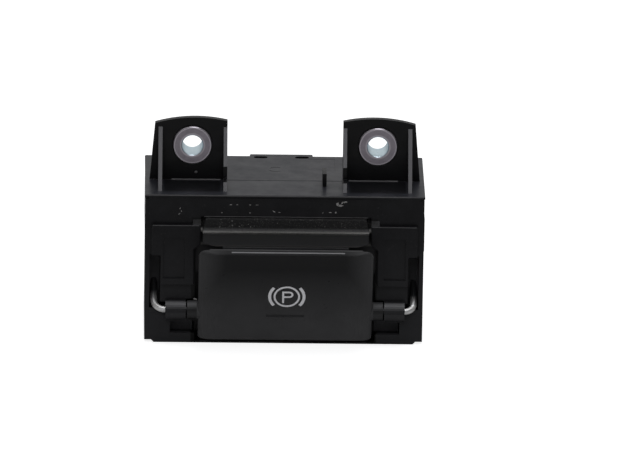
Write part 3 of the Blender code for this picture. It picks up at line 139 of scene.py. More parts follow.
# Dust on the front: across, up, length, width and turn, in millimetres and degrees
CRUMBS = (
    (-24.6, 33.2, 0.6, 0.25, 60.0),
    (-24.3, 32.5, 0.5, 0.25, 100.0),
    (-24.8, 31.8, 0.7, 0.2, 40.0),
    (-14.8, 32.2, 0.4, 0.3, 20.0),
    (-12.7, 34.2, 0.7, 0.35, 0.0),
    (-11.2, 34.2, 0.6, 0.2, 0.0),
    (-8.2, 34.2, 0.6, 0.3, 0.0),
    (-8.2, 32.2, 0.5, 0.3, 10.0),
    (-6.6, 34.2, 1.0, 0.15, 0.0),
    (-2.6, 32.6, 1.1, 0.3, -35.0),
    (-1.3, 32.4, 0.8, 0.2, 0.0),
    (8.9, 32.4, 0.5, 0.2, 60.0),
    (10.6, 32.5, 0.9, 0.3, 0.0),
    (11.9, 32.5, 0.6, 0.5, 50.0),
    (12.3, 34.6, 1.1, 0.8, 70.0),
    (13.0, 34.2, 1.5, 0.7, 0.0),
    (13.4, 34.9, 0.8, 0.5, 50.0),
    (14.1, 35.1, 1.3, 0.5, 10.0),
)
CRUMB_FRONT = FRONT_Y + 0.005 * MM

# The same on the band of the trim, and a pale fleck on the left boss
BAND_CRUMBS = (
    (-15.3, 28.8, 0.32, 0.2, 20.0),
    (-15.0, 30.6, 0.25, 0.15, 0.0),
    (-12.4, 30.3, 0.25, 0.4, 10.0),
    (-12.3, 29.2, 0.36, 0.22, 60.0),
    (-10.7, 29.0, 0.4, 0.2, 0.0),
    (-10.1, 29.3, 0.25, 0.2, 40.0),
    (-8.6, 29.5, 0.3, 0.2, 80.0),
    (-8.0, 28.9, 0.4, 0.22, -20.0),
    (-7.2, 29.1, 0.25, 0.2, 0.0),
    (-1.7, 29.9, 0.28, 0.15, 0.0),
    (9.4, 29.1, 0.28, 0.15, 30.0),
)
BAND_FRONT = FRONT_Y - 0.345 * MM
BOSS_FLECKS = ((-20.8, 11.1, 1.2, 0.5, -10.0),)
BOSS_FRONT = FRONT_Y - 1.0 * MM
CRUMB_SIDES = 9
CRUMB_THICK = 0.05 * MM

# Colours that the materials share or lay over each other
DUST_AND_LIP_HIGHLIGHT = (0.34, 0.33, 0.31)
BEAD_DUST_AND_HIGHLIGHT = (0.62, 0.61, 0.59)
CASE_BLACK = (0.004, 0.004, 0.0047)
CASE_SLOPE_HIGHLIGHT = (0.012, 0.012, 0.013)
CASE_PAINTED_LIGHT = (0.035, 0.035, 0.037)
CASE_GAP_SHADE = (0.001, 0.001, 0.001)
SLEEVE_HIGHLIGHT = (0.118, 0.118, 0.121)
COVER_BLACK = (0.0035, 0.0035, 0.0042)
COVER_SLOPE_HIGHLIGHT = (0.115, 0.113, 0.118)
COVER_TOP_REFLECTION = (0.023, 0.024, 0.029)
COVER_PATCH = (0.029, 0.029, 0.034)
EAR_SHADE = (0.0008, 0.0008, 0.001)
TRIM_BLACK = (0.006, 0.006, 0.006)
BAND_BLACK = (0.004, 0.004, 0.0044)
PANEL_LOW = (0.011, 0.011, 0.0115)
PANEL_HIGH = (0.002, 0.002, 0.0024)
PADDLE_DARK = (0.004, 0.004, 0.0044)
PADDLE_PAINTED_LIGHT = (0.10, 0.10, 0.102)
WIRE_SHADE = (0.06, 0.06, 0.064)

# Where painted light makes the case paler and painted shade makes it darker, as distances across, back and
# up
INSIDE = (FRONT_Y + 0.6 * MM, FRONT_Y + 14.0 * MM)
SLOT_ACROSS = (28.7 * MM, 32.0 * MM)
SLOT_TOP = 22.6 * MM
POCKET_ACROSS = (22.0 * MM, 27.2 * MM)
POCKET_UP = (2.2 * MM, 5.6 * MM)
SLEEVE_FRONT = FRONT_Y - 1.35 * MM
SLEEVE_TOP = 12.1 * MM
GAP_ACROSS = (19.6 * MM, 21.8 * MM)
GAP_FRONT = FRONT_Y - 0.8 * MM
GAP_TOP = 30.95 * MM

# Where the cover, the trim and the lever change tone, by dust and lint and by painted light and shade
EAR_POCKET_DEEP = (FRONT_Y + 2.5 * MM, PLATE_Y)
EAR_POCKET_ACROSS = (15.2 * MM, 28.4 * MM)
PATCH_ACROSS = (5.6 * MM, 13.5 * MM)
PATCH_FRONT = FRONT_Y + 8.5 * MM
EAR_SHADE_FROM = 40.0 * MM
BAND_FOOT = 28.5 * MM
BEAD_FOOT = 27.1 * MM
BEAD_FADE = (28.3 * MM, 27.67 * MM)
LINT_UP = (27.6 * MM, 28.45 * MM)
LIP_UP = (23.7 * MM, 24.3 * MM)
PANEL_UP = (24.2 * MM, 26.6 * MM)
BOSS_ACROSS = 20.7 * MM
FOOT_REFLECTION = 0.80
SIDE_REFLECTION = 0.32
TOP_LIGHT = 0.16

# Half the width of a sharp step between two tones
SHARP = 0.1 * MM


def up_the_face():
    """The lever's face: x across, y up along it, z out of it."""
    up = Vector((0.0, -sin(FACE_LEAN), cos(FACE_LEAN)))
    out = Vector((0.0, -cos(FACE_LEAN), -sin(FACE_LEAN)))
    turn = Matrix(((1.0, 0.0, 0.0), (0.0, up.y, out.y), (0.0, up.z, out.z))).to_4x4()
    return Matrix.Translation(FACE_FOOT) @ turn


# Materials


class Shader:
    """A Principled material, with short calls for the nodes that feed it."""

    def __init__(self, name, color, roughness, metallic=0.0, gloss=0.5):
        self.material = bpy.data.materials.new(name)
        self.material.use_nodes = True
        self.tree = self.material.node_tree
        self.principled = self.tree.nodes["Principled BSDF"]
        self.set("Base Color", (*color, 1.0))
        self.set("Roughness", roughness)
        self.set("Metallic", metallic)
        self.set("Specular IOR Level", gloss)
        self.places = self.tree.nodes.new("ShaderNodeTexCoord").outputs["Object"]

    def set(self, socket, value):
        self.principled.inputs[socket].default_value = value

    def feed(self, socket, output):
        self.tree.links.new(output, self.principled.inputs[socket])

    def tone(self):
        """What feeds the colour so far."""
        return self.principled.inputs["Base Color"].links[0].from_socket

    def noise(self, size, detail=4.0, roughness=0.6, stretch=(1.0, 1.0, 1.0)):
        """Noise whose lumps are about this size, in metres."""
        mapping = self.tree.nodes.new("ShaderNodeMapping")
        mapping.inputs["Scale"].default_value = stretch
        self.tree.links.new(self.places, mapping.inputs["Vector"])
        node = self.tree.nodes.new("ShaderNodeTexNoise")
        node.inputs["Scale"].default_value = 1.0 / size
        node.inputs["Detail"].default_value = detail
        node.inputs["Roughness"].default_value = roughness
        self.tree.links.new(mapping.outputs["Vector"], node.inputs["Vector"])
        return node.outputs["Fac"]

    def remap(self, value, source, target=(0.0, 1.0)):
        node = self.tree.nodes.new("ShaderNodeMapRange")
        self.tree.links.new(value, node.inputs["Value"])
        for name, number in zip(("From Min", "From Max", "To Min", "To Max"), (*source, *target)):
            node.inputs[name].default_value = number
        return node.outputs["Result"]

    def math(self, operation, first, second):
        node = self.tree.nodes.new("ShaderNodeMath")
        node.operation = operation
        for socket, value in zip(node.inputs, (first, second)):
            if isinstance(value, (int, float)):
                socket.default_value = value
            else:
                self.tree.links.new(value, socket)
        return node.outputs["Value"]

    def times(self, first, *others):
        for other in others:
            first = self.math("MULTIPLY", first, other)
        return first

    def most(self, first, *others):
        for other in others:
            first = self.math("MAXIMUM", first, other)
        return first

    def mix(self, factor, first, second):
        node = self.tree.nodes.new("ShaderNodeMix")
        node.data_type = "RGBA"
        self.tree.links.new(factor, node.inputs["Factor"])
        for name, value in (("A", first), ("B", second)):
            socket = [s for s in node.inputs if s.name == name and s.type == "RGBA"][0]
            if isinstance(value, tuple):
                socket.default_value = (*value, 1.0)
            else:
                self.tree.links.new(value, socket)
        return [s for s in node.outputs if s.type == "RGBA"][0]

    def bump(self, height, strength, distance):
        node = self.tree.nodes.new("ShaderNodeBump")
        node.inputs["Strength"].default_value = strength
        node.inputs["Distance"].default_value = distance
        self.tree.links.new(height, node.inputs["Height"])
        self.feed("Normal", node.outputs["Normal"])

    def place(self, axis):
        node = self.tree.nodes.new("ShaderNodeSeparateXYZ")
        self.tree.links.new(self.places, node.inputs["Vector"])
        return node.outputs[axis]

    def across(self, middle=0.0):
        """The distance to either side of a middle plane."""
        return self.math("ABSOLUTE", self.math("SUBTRACT", self.place("X"), middle), 0.0)

    def facing(self, axis):
        geometry = self.tree.nodes.new("ShaderNodeNewGeometry")
        node = self.tree.nodes.new("ShaderNodeSeparateXYZ")
        self.tree.links.new(geometry.outputs["Normal"], node.inputs["Vector"])
        return node.outputs[axis]

    def above(self, value, edge, soft=SHARP):
        """1 over the edge and 0 under it, with a slope of twice the soft width."""
        return self.remap(value, (edge - soft, edge + soft), (0.0, 1.0))

    def below(self, value, edge, soft=SHARP):
        return self.remap(value, (edge - soft, edge + soft), (1.0, 0.0))

    def window(self, value, ends, soft=SHARP):
        """1 where the value lies between the two ends."""
        return self.times(self.above(value, ends[0], soft), self.below(value, ends[1], soft))


def plastic(name, color, roughness, grain, depth, dust=0.0, wear=0.08, gloss=0.5, edges=None, uneven=1.2):
    """Moulded plastic: fine grain, uneven gloss, a little dust, and where asked a painted highlight on faces
    that slope upwards.
    """
    shader = Shader(name, color, roughness, gloss=gloss)
    cloud = shader.noise(5.0 * MM, 5.0, 0.7)
    lighter = tuple(min(1.0, c * uneven) for c in color)
    tone = shader.mix(shader.remap(cloud, (0.35, 0.65)), color, lighter)
    if dust > 0.0:
        speck = shader.remap(shader.noise(0.5 * MM, 2.0, 0.5), (0.64, 0.72), (0.0, dust))
        patch = shader.remap(shader.noise(6.0 * MM, 3.0), (0.40, 0.62), (0.15, 1.0))
        tone = shader.mix(shader.times(speck, patch), tone, DUST_AND_LIP_HIGHLIGHT)
    if edges:
        # Painted highlight: faces sloping upwards take the given paler colour.
        tone = shader.mix(shader.window(shader.facing("Z"), (0.40, 0.80), 0.08), tone, edges)
    shader.feed("Base Color", tone)
    shader.feed("Roughness", shader.remap(smear(shader), (0.3, 0.7), (roughness - wear, roughness + wear)))
    shader.bump(shader.noise(grain, 3.0, 0.55), 0.35, depth)
    return shader


def smear(shader):
    """Where hands and cloths have wiped: clouds a little longer across than up."""
    return shader.noise(4.0 * MM, 5.0, 0.65, (1.0, 1.0, 1.6))


def plain_plastic(name, color, roughness, grain=0.2 * MM, depth=0.01 * MM, gloss=0.5):
    return plastic(name, color, roughness, grain, depth, gloss=gloss).material


def round_sheen(shader):
    """A painted highlight along the upper side of a round sleeve, and a faint painted reflection below it.
    """
    up = shader.facing("Z")
    upper = shader.times(shader.remap(up, (0.45, 0.78)), shader.remap(up, (0.88, 1.0), (1.0, 0.3)))
    lower = shader.times(shader.window(up, (-0.5, -0.05), 0.08), 0.14)
    return shader.most(upper, lower)


def housing_material():
    """The case's plastic, with painted light: paler low down and inside its slots and pockets, a painted
    highlight on its sloping faces and along its sleeves, and painted shade in the gap beside the lever.
    """
    shader = plastic(
        "housing", CASE_BLACK, 0.42, 0.22 * MM, 0.02 * MM, dust=0.05, gloss=0.21, edges=CASE_SLOPE_HIGHLIGHT, uneven=1.9
    )
    across, deep, height = shader.across(), shader.place("Y"), shader.place("Z")
    # Painted light: paler towards the floor, and inside the slots and pockets.
    low = shader.remap(height, (30.0 * MM, 0.0), (0.0, 0.55))
    inside = shader.window(deep, INSIDE)
    slots = shader.times(inside, shader.window(across, SLOT_ACROSS), shader.below(height, SLOT_TOP))
    pockets = shader.times(inside, shader.window(across, POCKET_ACROSS), shader.window(height, POCKET_UP))
    tone = shader.mix(shader.most(low, slots, pockets), shader.tone(), CASE_PAINTED_LIGHT)
    # Painted highlight along the upper side of the sleeves.
    on_sleeves = shader.below(deep, SLEEVE_FRONT, 0.05 * MM)
    sleeves = shader.times(on_sleeves, round_sheen(shader), shader.below(height, SLEEVE_TOP))
    tone = shader.mix(sleeves, tone, SLEEVE_HIGHLIGHT)
    # Painted shade in the gap beside the lever.
    behind = shader.above(deep, GAP_FRONT)
    gap = shader.times(shader.window(across, GAP_ACROSS), behind, shader.below(height, GAP_TOP, 0.05 * MM))
    shader.feed("Base Color", shader.mix(gap, tone, CASE_GAP_SHADE))
    return shader.material


def bracket_material():
    """The cover's plastic: a painted highlight on sloping faces, a bluish painted reflection on the top that
    fades in the pockets in front of the ears, a paler patch on the top, and painted shade that makes the
    ears' front faces very dark.
    """
    shader = plastic(
        "bracket", COVER_BLACK, 0.36, 0.30 * MM, 0.012 * MM, dust=0.04, gloss=0.24, edges=COVER_SLOPE_HIGHLIGHT
    )
    across, deep, height = shader.place("X"), shader.place("Y"), shader.place("Z")
    on_top = shader.below(height, COVER_TOP + 0.25 * MM, 0.05 * MM)
    # Painted reflection on the faces of the top that look up.
    top = shader.times(shader.above(shader.facing("Z"), 0.93, 0.03), on_top)
    # Less of the painted reflection in the pockets in front of the ears.
    pocket = shader.times(
        shader.window(deep, EAR_POCKET_DEEP, 0.8 * MM),
        shader.window(shader.across(), EAR_POCKET_ACROSS, 0.2 * MM),
    )
    top = shader.times(top, shader.remap(pocket, (0.0, 1.0), (1.0, 0.1)))
    patch = shader.times(
        top,
        shader.window(across, PATCH_ACROSS, 0.4 * MM),
        shader.above(deep, PATCH_FRONT, 0.5 * MM),
    )
    # Painted shade on the ears' front faces, high up.
    ears = shader.times(
        shader.below(shader.facing("Y"), -0.90, 0.05),
        shader.above(height, EAR_SHADE_FROM, 2.0 * MM),
    )
    tone = shader.mix(top, shader.tone(), COVER_TOP_REFLECTION)
    tone = shader.mix(ears, tone, EAR_SHADE)
    shader.feed("Base Color", shader.mix(patch, tone, COVER_PATCH))
    return shader.material


def trim_material():
    """The trim behind the lever: a dusty band, lint on the bead below it, a painted highlight streaked like
    dust along the bead, and a panel with painted shade under the bead and a painted highlight on its lip.
    """
    shader = Shader("trim", TRIM_BLACK, 0.6, gloss=0.5)
    height = shader.place("Z")
    band = shader.above(height, BAND_FOOT, 0.3 * MM)
    speck = shader.remap(shader.noise(0.32 * MM, 3.0, 0.6), (0.54, 0.70), (0.0, 0.26))
    patch = shader.remap(shader.noise(5.0 * MM, 2.0), (0.40, 0.60), (0.3, 1.0))
    sparse = shader.times(speck, patch, band)
    lint = shader.noise(0.3 * MM, 3.0, 0.6, (1.0, 1.0, 0.25))
    frayed = shader.math("ADD", height, shader.remap(lint, (0.3, 0.8), (0.3 * MM, -0.9 * MM)))
    fur = shader.times(
        shader.window(frayed, LINT_UP, 0.3 * MM),
        shader.remap(lint, (0.35, 0.65), (0.0, 0.045)),
    )
    # Painted highlight along the bead's top, streaked like dust.
    bead_dust_and_highlight = shader.times(
        shader.above(height, BEAD_FOOT, 0.3 * MM),
        shader.math("POWER", shader.remap(height, BEAD_FADE), 1.6),
        shader.remap(lint, (0.3, 0.7), (0.8, 1.1)),
    )
    # Painted highlight on the panel's lower lip, in the dust colour.
    lip = shader.times(shader.window(height, LIP_UP, 0.15 * MM), 0.25)
    # Painted shade under the bead, lighter towards the lip.
    panel = shader.mix(shader.remap(height, PANEL_UP), PANEL_LOW, PANEL_HIGH)
    tone = shader.mix(shader.most(sparse, fur, lip), shader.mix(band, panel, BAND_BLACK), DUST_AND_LIP_HIGHLIGHT)
    shader.feed("Base Color", shader.mix(bead_dust_and_highlight, tone, BEAD_DUST_AND_HIGHLIGHT))
    shader.feed("Roughness", shader.remap(band, (0.0, 1.0), (0.45, 0.8)))
    shader.bump(shader.noise(0.25 * MM, 4.0, 0.6), 0.3, 0.02 * MM)
    return shader.material


def paddle_material():
    """Satin black, with painted reflections that make it paler towards the sides and the foot, a painted
    highlight along the round bosses, and painted light on the faces that look up.
    """
    shader = Shader("paddle_black", PADDLE_DARK, 0.30, gloss=0.25)
    across, height = shader.across(LEVER_X), shader.place("Z")
    # Painted reflection, paler towards the foot and the sides.
    foot = shader.remap(height, (21.0 * MM, 1.0 * MM), (0.0, FOOT_REFLECTION))
    side = shader.remap(across, (14.0 * MM, 19.0 * MM), (0.0, SIDE_REFLECTION))
    cloud = shader.remap(shader.noise(7.0 * MM, 2.0), (0.3, 0.7), (0.9, 1.1))
    face = shader.times(shader.most(foot, side), cloud, shader.below(across, BOSS_ACROSS))
    # Painted highlight along the bosses.
    sheen = shader.remap(round_sheen(shader), (0.0, 1.0), (0.13, 1.05))
    bosses = shader.times(shader.above(across, BOSS_ACROSS), sheen)
    # Painted light on the faces near the top that look up.
    top = shader.times(
        shader.remap(shader.facing("Z"), (0.80, 0.90), (0.0, TOP_LIGHT)),
        shader.remap(height, (24.4 * MM, 24.8 * MM)),
    )
    pale = shader.math("ADD", shader.math("ADD", face, bosses), top)
    shader.feed("Base Color", shader.mix(pale, PADDLE_DARK, PADDLE_PAINTED_LIGHT))
    rim = shader.remap(shader.facing("Z"), (0.3, 0.6), (0.0, 0.45))
    matt = shader.remap(smear(shader), (0.3, 0.7), (0.27, 0.33))
    shader.feed("Roughness", shader.math("ADD", matt, rim))
    shader.bump(shader.noise(0.12 * MM, 3.0, 0.55), 0.35, 0.005 * MM)
    return shader.material


def clear_material():
    shader = Shader("clear_plastic", (0.86, 0.87, 0.89), 0.12)
    shader.set("Transmission Weight", 0.75)
    shader.set("IOR", 1.49)
    haze = shader.noise(1.5 * MM, 3.0)
    shader.feed("Roughness", shader.remap(haze, (0.3, 0.7), (0.08, 0.2)))
    return shader.material


def lens_material():
    """The indicator's bar is smoked, so it looks dark until it is lit."""
    shader = Shader("smoked_plastic", (0.016, 0.016, 0.017), 0.3)
    haze = shader.noise(1.0 * MM, 3.0)
    shader.feed("Roughness", shader.remap(haze, (0.3, 0.7), (0.26, 0.36)))
    return shader.material


def turned_steel():
    """Plated steel with fine turning rings and a few duller patches, and bluish-white painted light on the
    bore's wall.
    """
    shader = Shader("plated_steel", (0.28, 0.255, 0.28), 0.34, 1.0)
    patch = shader.noise(1.6 * MM, 4.0)
    tone = shader.mix(shader.remap(patch, (0.35, 0.65)), (0.24, 0.22, 0.245), (0.33, 0.30, 0.335))
    away = from_the_bush(shader)
    outer = shader.window(away, (4.15 * MM, 5.0 * MM))
    inner = shader.window(away, (2.0 * MM, 2.95 * MM))
    tone = shader.mix(shader.most(outer, inner), tone, (0.50, 0.47, 0.51))
    # Painted light: the bore's wall is painted bluish white.
    bore = shader.remap(away, (BORE_RADIUS + 0.05 * MM, BORE_RADIUS + 0.2 * MM), (1.0, 0.0))
    shader.feed("Base Color", shader.mix(bore, tone, (0.78, 0.93, 1.0)))
    shader.feed("Roughness", shader.remap(patch, (0.3, 0.7), (0.27, 0.42)))
    shader.bump(shader.noise(0.12 * MM, 2.0, 0.5, (1.0, 0.1, 1.0)), 0.25, 0.01 * MM)
    return shader.material


def from_the_bush(shader):
    """The distance from the nearer bushing's axis."""
    across = shader.math("SUBTRACT", shader.across(), BUSH_X)
    up = shader.math("SUBTRACT", shader.place("Z"), BUSH_Z)
    square = shader.math("ADD", shader.times(across, across), shader.times(up, up))
    return shader.math("SQRT", square, 0.0)


def drawn_wire():
    """Dull plated wire, with painted shade where it runs in the sleeves and where it stands back in the
    slots.
    """
    shader = Shader("wire_steel", (0.78, 0.78, 0.77), 0.36, 0.7)
    streak = shader.noise(0.8 * MM, 4.0, 0.6, (0.2, 1.0, 1.0))
    shader.feed("Roughness", shader.remap(streak, (0.3, 0.7), (0.3, 0.42)))
    tone = shader.mix(shader.remap(streak, (0.4, 0.7)), (0.82, 0.82, 0.81), (0.62, 0.61, 0.59))
    # Painted shade where the wire runs in the sleeves.
    sleeve_shade = shader.remap(shader.across(), (24.3 * MM, 24.6 * MM), (1.0, 0.0))
    # Painted shade higher up, where the wire stands back in the slots, from a little lower on the right.
    more_on_the_right = shader.remap(shader.place("X"), (-1.0 * MM, 1.0 * MM), (0.0, 0.5 * MM))
    height = shader.math("ADD", shader.place("Z"), more_on_the_right)
    slot_shade = shader.remap(height, (10.3 * MM, 11.9 * MM))
    shader.feed("Base Color", shader.mix(shader.most(sleeve_shade, slot_shade), tone, WIRE_SHADE))
    return shader.material


def spring_steel():
    shader = Shader("spring_steel", (0.70, 0.70, 0.69), 0.2, 1.0)
    streak = shader.noise(0.8 * MM, 4.0, 0.6, (0.2, 1.0, 1.0))
    shader.feed("Roughness", shader.remap(streak, (0.3, 0.7), (0.14, 0.3)))
    tone = shader.mix(shader.remap(streak, (0.4, 0.7)), (0.72, 0.72, 0.71), (0.55, 0.54, 0.52))
    shader.feed("Base Color", tone)
    return shader.material


def board_material():
    """Green solder mask with faint copper runs below it."""
    shader = Shader("board_green", (0.03, 0.16, 0.07), 0.4)
    runs = shader.remap(shader.noise(2.6 * MM, 1.0, 0.4, (0.5, 1.0, 2.0)), (0.48, 0.52))
    shader.feed("Base Color", shader.mix(runs, (0.02, 0.12, 0.05), (0.04, 0.20, 0.09)))
    shader.bump(runs, 0.4, 0.03 * MM)
    return shader.material


def magnet_material():
    shader = Shader("magnet_grey", (0.2, 0.2, 0.21), 0.38, 0.9)
    patch = shader.noise(1.2 * MM, 4.0)
    shader.feed("Roughness", shader.remap(patch, (0.3, 0.7), (0.28, 0.46)))
    return shader.material


def tin_material():
    shader = Shader("terminal_tin", (0.72, 0.71, 0.68), 0.3, 1.0)
    patch = shader.noise(1.0 * MM, 3.0, 0.6, (1.0, 0.3, 1.0))
    shader.feed("Roughness", shader.remap(patch, (0.3, 0.7), (0.22, 0.4)))
    return shader.material


def edge_highlight_material():
    """Black plastic painted pale, as a highlight on edges that face upwards."""
    return plain_plastic("pale_edge_highlight", (0.085, 0.084, 0.086), 0.5)


def print_material():
    """White print, a little uneven at its edges."""
    shader = Shader("sign_white", (0.88, 0.88, 0.90), 0.5)
    ink = shader.noise(0.25 * MM, 3.0)
    tone = shader.mix(shader.remap(ink, (0.4, 0.7)), (0.92, 0.92, 0.94), (0.80, 0.80, 0.82))
    shader.feed("Base Color", tone)
    return shader.material


# Carried-over nodes


def dress(node, material):
    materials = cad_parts[node].data.materials
    materials.clear()
    materials.append(material)


def finish_of(node):
    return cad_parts[node].data.materials[0]


def soften(thing, flatten=True):
    """Small rounds on a moulded piece's edges, so that they catch the light."""
    weld = thing.modifiers.new("Weld", "WELD")
    weld.merge_threshold = WELD_REACH
    if flatten:
        flat = thing.modifiers.new("Flat", "DECIMATE")
        flat.decimate_type = "DISSOLVE"
        flat.angle_limit = radians(FLAT_ANGLE)
    edges = thing.modifiers.new("Edges", "BEVEL")
    edges.width = EDGE_ROUND
    edges.segments = 2
    edges.limit_method = "ANGLE"
    edges.angle_limit = radians(EDGE_ANGLE)
    edges.use_clamp_overlap = True
    edges.harden_normals = False
    smooth = thing.modifiers.new("Normals", "WEIGHTED_NORMAL")
    smooth.keep_sharp = True


def dress_nodes():
    finishes = (
        (housing_material(), ("case", "rear_cover")),
        (bracket_material(), ("top_bracket",)),
        (trim_material(), ("finger_scoop",)),
        (paddle_material(), ("paddle_cap",)),
        (turned_steel(), ("bushing_left", "bushing_right", "board_screw_left", "board_screw_right")),
        (drawn_wire(), ("hinge_wire_left", "hinge_wire_right")),
        (spring_steel(), ("return_spring_lower", "return_spring_upper")),
        (plain_plastic("inner_plastic", (0.03, 0.03, 0.032), 0.55, 0.3 * MM, 0.02 * MM),
         ("slider_guide", "paddle_carrier")),
        (plain_plastic("slider_plastic", (0.62, 0.60, 0.54), 0.45, 0.25 * MM), ("slider",)),
        (board_material(), ("circuit_board",)),
        (plain_plastic("chip_black", (0.02, 0.02, 0.021), 0.5, 0.15 * MM), ("sensor_lower", "sensor_upper")),
        (clear_material(), ("backlight_left", "backlight_right", "light_guide")),
        (lens_material(), ("indicator_lens",)),
        (magnet_material(), ("magnet",)),
        (tin_material(), tuple(f"terminal_{number}" for number in range(1, 7))),
    )
    for material, nodes in finishes:
        for node in nodes:
            dress(node, material)
    for node in ("case", "rear_cover", "finger_scoop"):
        soften(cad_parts[node])
    soften(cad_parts["top_bracket"], flatten=False)


# Forms that the pieces are made of


def add_mesh(name, bm, material, body, place=None):
    mesh = bpy.data.meshes.new(name)
    bmesh.ops.recalc_face_normals(bm, faces=bm.faces)
    bm.to_mesh(mesh)
    bm.free()
    thing = bpy.data.objects.new(name, mesh)
    thing.matrix_world = place or Matrix.Identity(4)
    bpy.context.scene.collection.objects.link(thing)
    mesh.materials.append(material)
    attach(thing, body)
    return thing


def arc(centre, radius, start, end, count):
    found = []
    for step in range(count + 1):
        angle = radians(start + (end - start) * step / count)
        found.append(Vector((centre[0] + radius * cos(angle), centre[1] + radius * sin(angle))))
    return found


def hoop(centre, radius, count):
    """The points of a full circle, without the last one that meets the first."""
    return arc(centre, radius, 0, 360, count)[:-1]


def across_the_line(before, point, after):
    """The direction across a line at a bend, and how far out the edge of a band one unit wide lies."""
    back = (point - before).normalized() if (point - before).length > 0 else None
    ahead = (after - point).normalized() if (after - point).length > 0 else None
    along = ((back or ahead) + (ahead or back)).normalized()
    side = Vector((-along.y, along.x))
    start = back or ahead
    return side, 0.5 / max(0.5, side.dot(Vector((-start.y, start.x))))


def stroke(bm, points, width, low, high, closed=False):
    """A band of this width along a line on the plane, from one height to another."""
    count = len(points)
    rings = []
    for i, point in enumerate(points):
        before = points[i - 1] if closed or i > 0 else point
        after = points[(i + 1) % count] if closed or i < count - 1 else point
        side, reach = across_the_line(before, point, after)
        left = point + side * width * reach
        right = point - side * width * reach
        corners = ((left, low), (left, high), (right, high), (right, low))
        rings.append([bm.verts.new((p.x, p.y, h)) for p, h in corners])
    join(bm, rings, closed)


def join(bm, rings, closed=False):
    """Skins the rings in turn, and closes the ends unless the last meets the first."""
    sides = len(rings[0])
    pairs = list(zip(rings, rings[1:]))
    if closed:
        pairs.append((rings[-1], rings[0]))
    for one, two in pairs:
        for j in range(sides):
            k = (j + 1) % sides
            bm.faces.new((one[j], two[j], two[k], one[k]))
    if not closed:
        bm.faces.new(rings[0])
        bm.faces.new(rings[-1])


def block(bm, low, high):
    """A box between two corners."""
    size = [b - a for a, b in zip(low, high)]
    middle = [(a + b) / 2 for a, b in zip(low, high)]
    place = Matrix.Translation(middle) @ Matrix.Diagonal((*size, 1.0))
    bmesh.ops.create_cube(bm, size=1.0, matrix=place)


def front_block(bm, corners, side=1):
    """A box in millimetres from the front wall, or its mirror image on the other side."""
    low, high = corners
    left, right = sorted((side * low[0] * MM, side * high[0] * MM))
    block(
        bm,
        (left, FRONT_Y + low[1] * MM, low[2] * MM),
        (right, FRONT_Y + high[1] * MM, high[2] * MM),
    )


def lever_block(bm, corners):
    """A box in millimetres from the lever's top edge."""
    low, high = [(x * MM, PADDLE_TOP + y * MM, z * MM) for x, y, z in corners]
    block(bm, low, high)


def round_edges(bm, width):
    bmesh.ops.bevel(bm, geom=bm.edges[:], offset=width, segments=2, affect="EDGES", profile=0.5)


def ball(bm, place, size, around, along):
    """A squashed ball."""
    matrix = Matrix.Translation(place) @ Matrix.Diagonal((*size, 1.0))
    bmesh.ops.create_uvsphere(bm, u_segments=around, v_segments=along, radius=1.0, matrix=matrix)


def fillet(bm, ends, foot, deep, tall):
    """A wedge along X: its right angle at the foot's (y, z), coming forward and up."""
    y, z = foot
    outline = ((y, z), (y - deep, z), (y - deep * 0.4, z + tall * 0.4), (y, z + tall))
    join(bm, [[bm.verts.new((x, *point)) for point in outline] for x in ends])


def fleck(bm, x, z, long, wide, turn, y):
    """A flat crumb of dust on a front face, with an uneven rim."""
    low, high = [], []
    for step in range(CRUMB_SIDES):
        angle = 2 * pi * step / CRUMB_SIDES
        reach = 0.8 + 0.2 * sin(5.0 * angle + 700.0 * x / MM)
        a = long / 2 * reach * cos(angle)
        b = wide / 2 * reach * sin(angle)
        u = x + a * cos(radians(turn)) - b * sin(radians(turn))
        v = z + a * sin(radians(turn)) + b * cos(radians(turn))
        low.append(bm.verts.new((u, y, v)))
        high.append(bm.verts.new((u * 0.7 + x * 0.3, y - CRUMB_THICK, v * 0.7 + z * 0.3)))
    join(bm, [low, high])


def rim(bm, x, start, end):
    """A thin round bar along part of a circle, in front of the ear's plate."""
    rings = []
    back = Vector((0.0, 1.0, 0.0))
    for step in range(RIM_STEPS):
        angle = radians(start + (end - start) * step / (RIM_STEPS - 1))
        out = Vector((cos(angle), 0.0, sin(angle)))
        middle = Vector((x, RIM_Y, BUSH_Z)) + out * RIM_RADIUS
        thick = RIM_THICK * sin(pi * (step + 0.5) / RIM_STEPS)
        ring = [middle + out * thick * cos(a) + back * thick * sin(a) for a in CORNERS]
        rings.append([bm.verts.new(p) for p in ring])
    join(bm, rings)


# Pieces of the scene


def add_sign():
    """The parking brake sign: a letter in a ring between two brackets, as thin print."""
    bm = bmesh.new()
    heights = (-SIGN_THICK, SIGN_THICK)
    stroke(bm, hoop((0.0, 0.0), SIGN_RING, 48), SIGN_STROKE, *heights, closed=True)
    for turn in (0, 180):
        bracket = arc((0.0, 0.0), SIGN_BRACKET, turn - SIGN_BRACKET_HALF, turn + SIGN_BRACKET_HALF, 16)
        stroke(bm, bracket, SIGN_BRACKET_STROKE, *heights)
    letter = [
        Vector((LETTER_STEM, LETTER_FOOT)),
        Vector((LETTER_STEM, LETTER_TOP)),
        Vector((LETTER_ARC, LETTER_TOP)),
        *arc((LETTER_ARC, LETTER_TOP - LETTER_BOWL), LETTER_BOWL, 90, -90, 10)[1:],
        Vector((LETTER_STEM + SIGN_STROKE / 2, LETTER_TOP - 2 * LETTER_BOWL)),
    ]
    stroke(bm, letter, SIGN_STROKE, *heights)
    place = up_the_face() @ Matrix.Translation((SIGN_ACROSS, SIGN_ALONG, SIGN_THICK))
    sign = add_mesh("parking_sign", bm, print_material(), "lever", place)


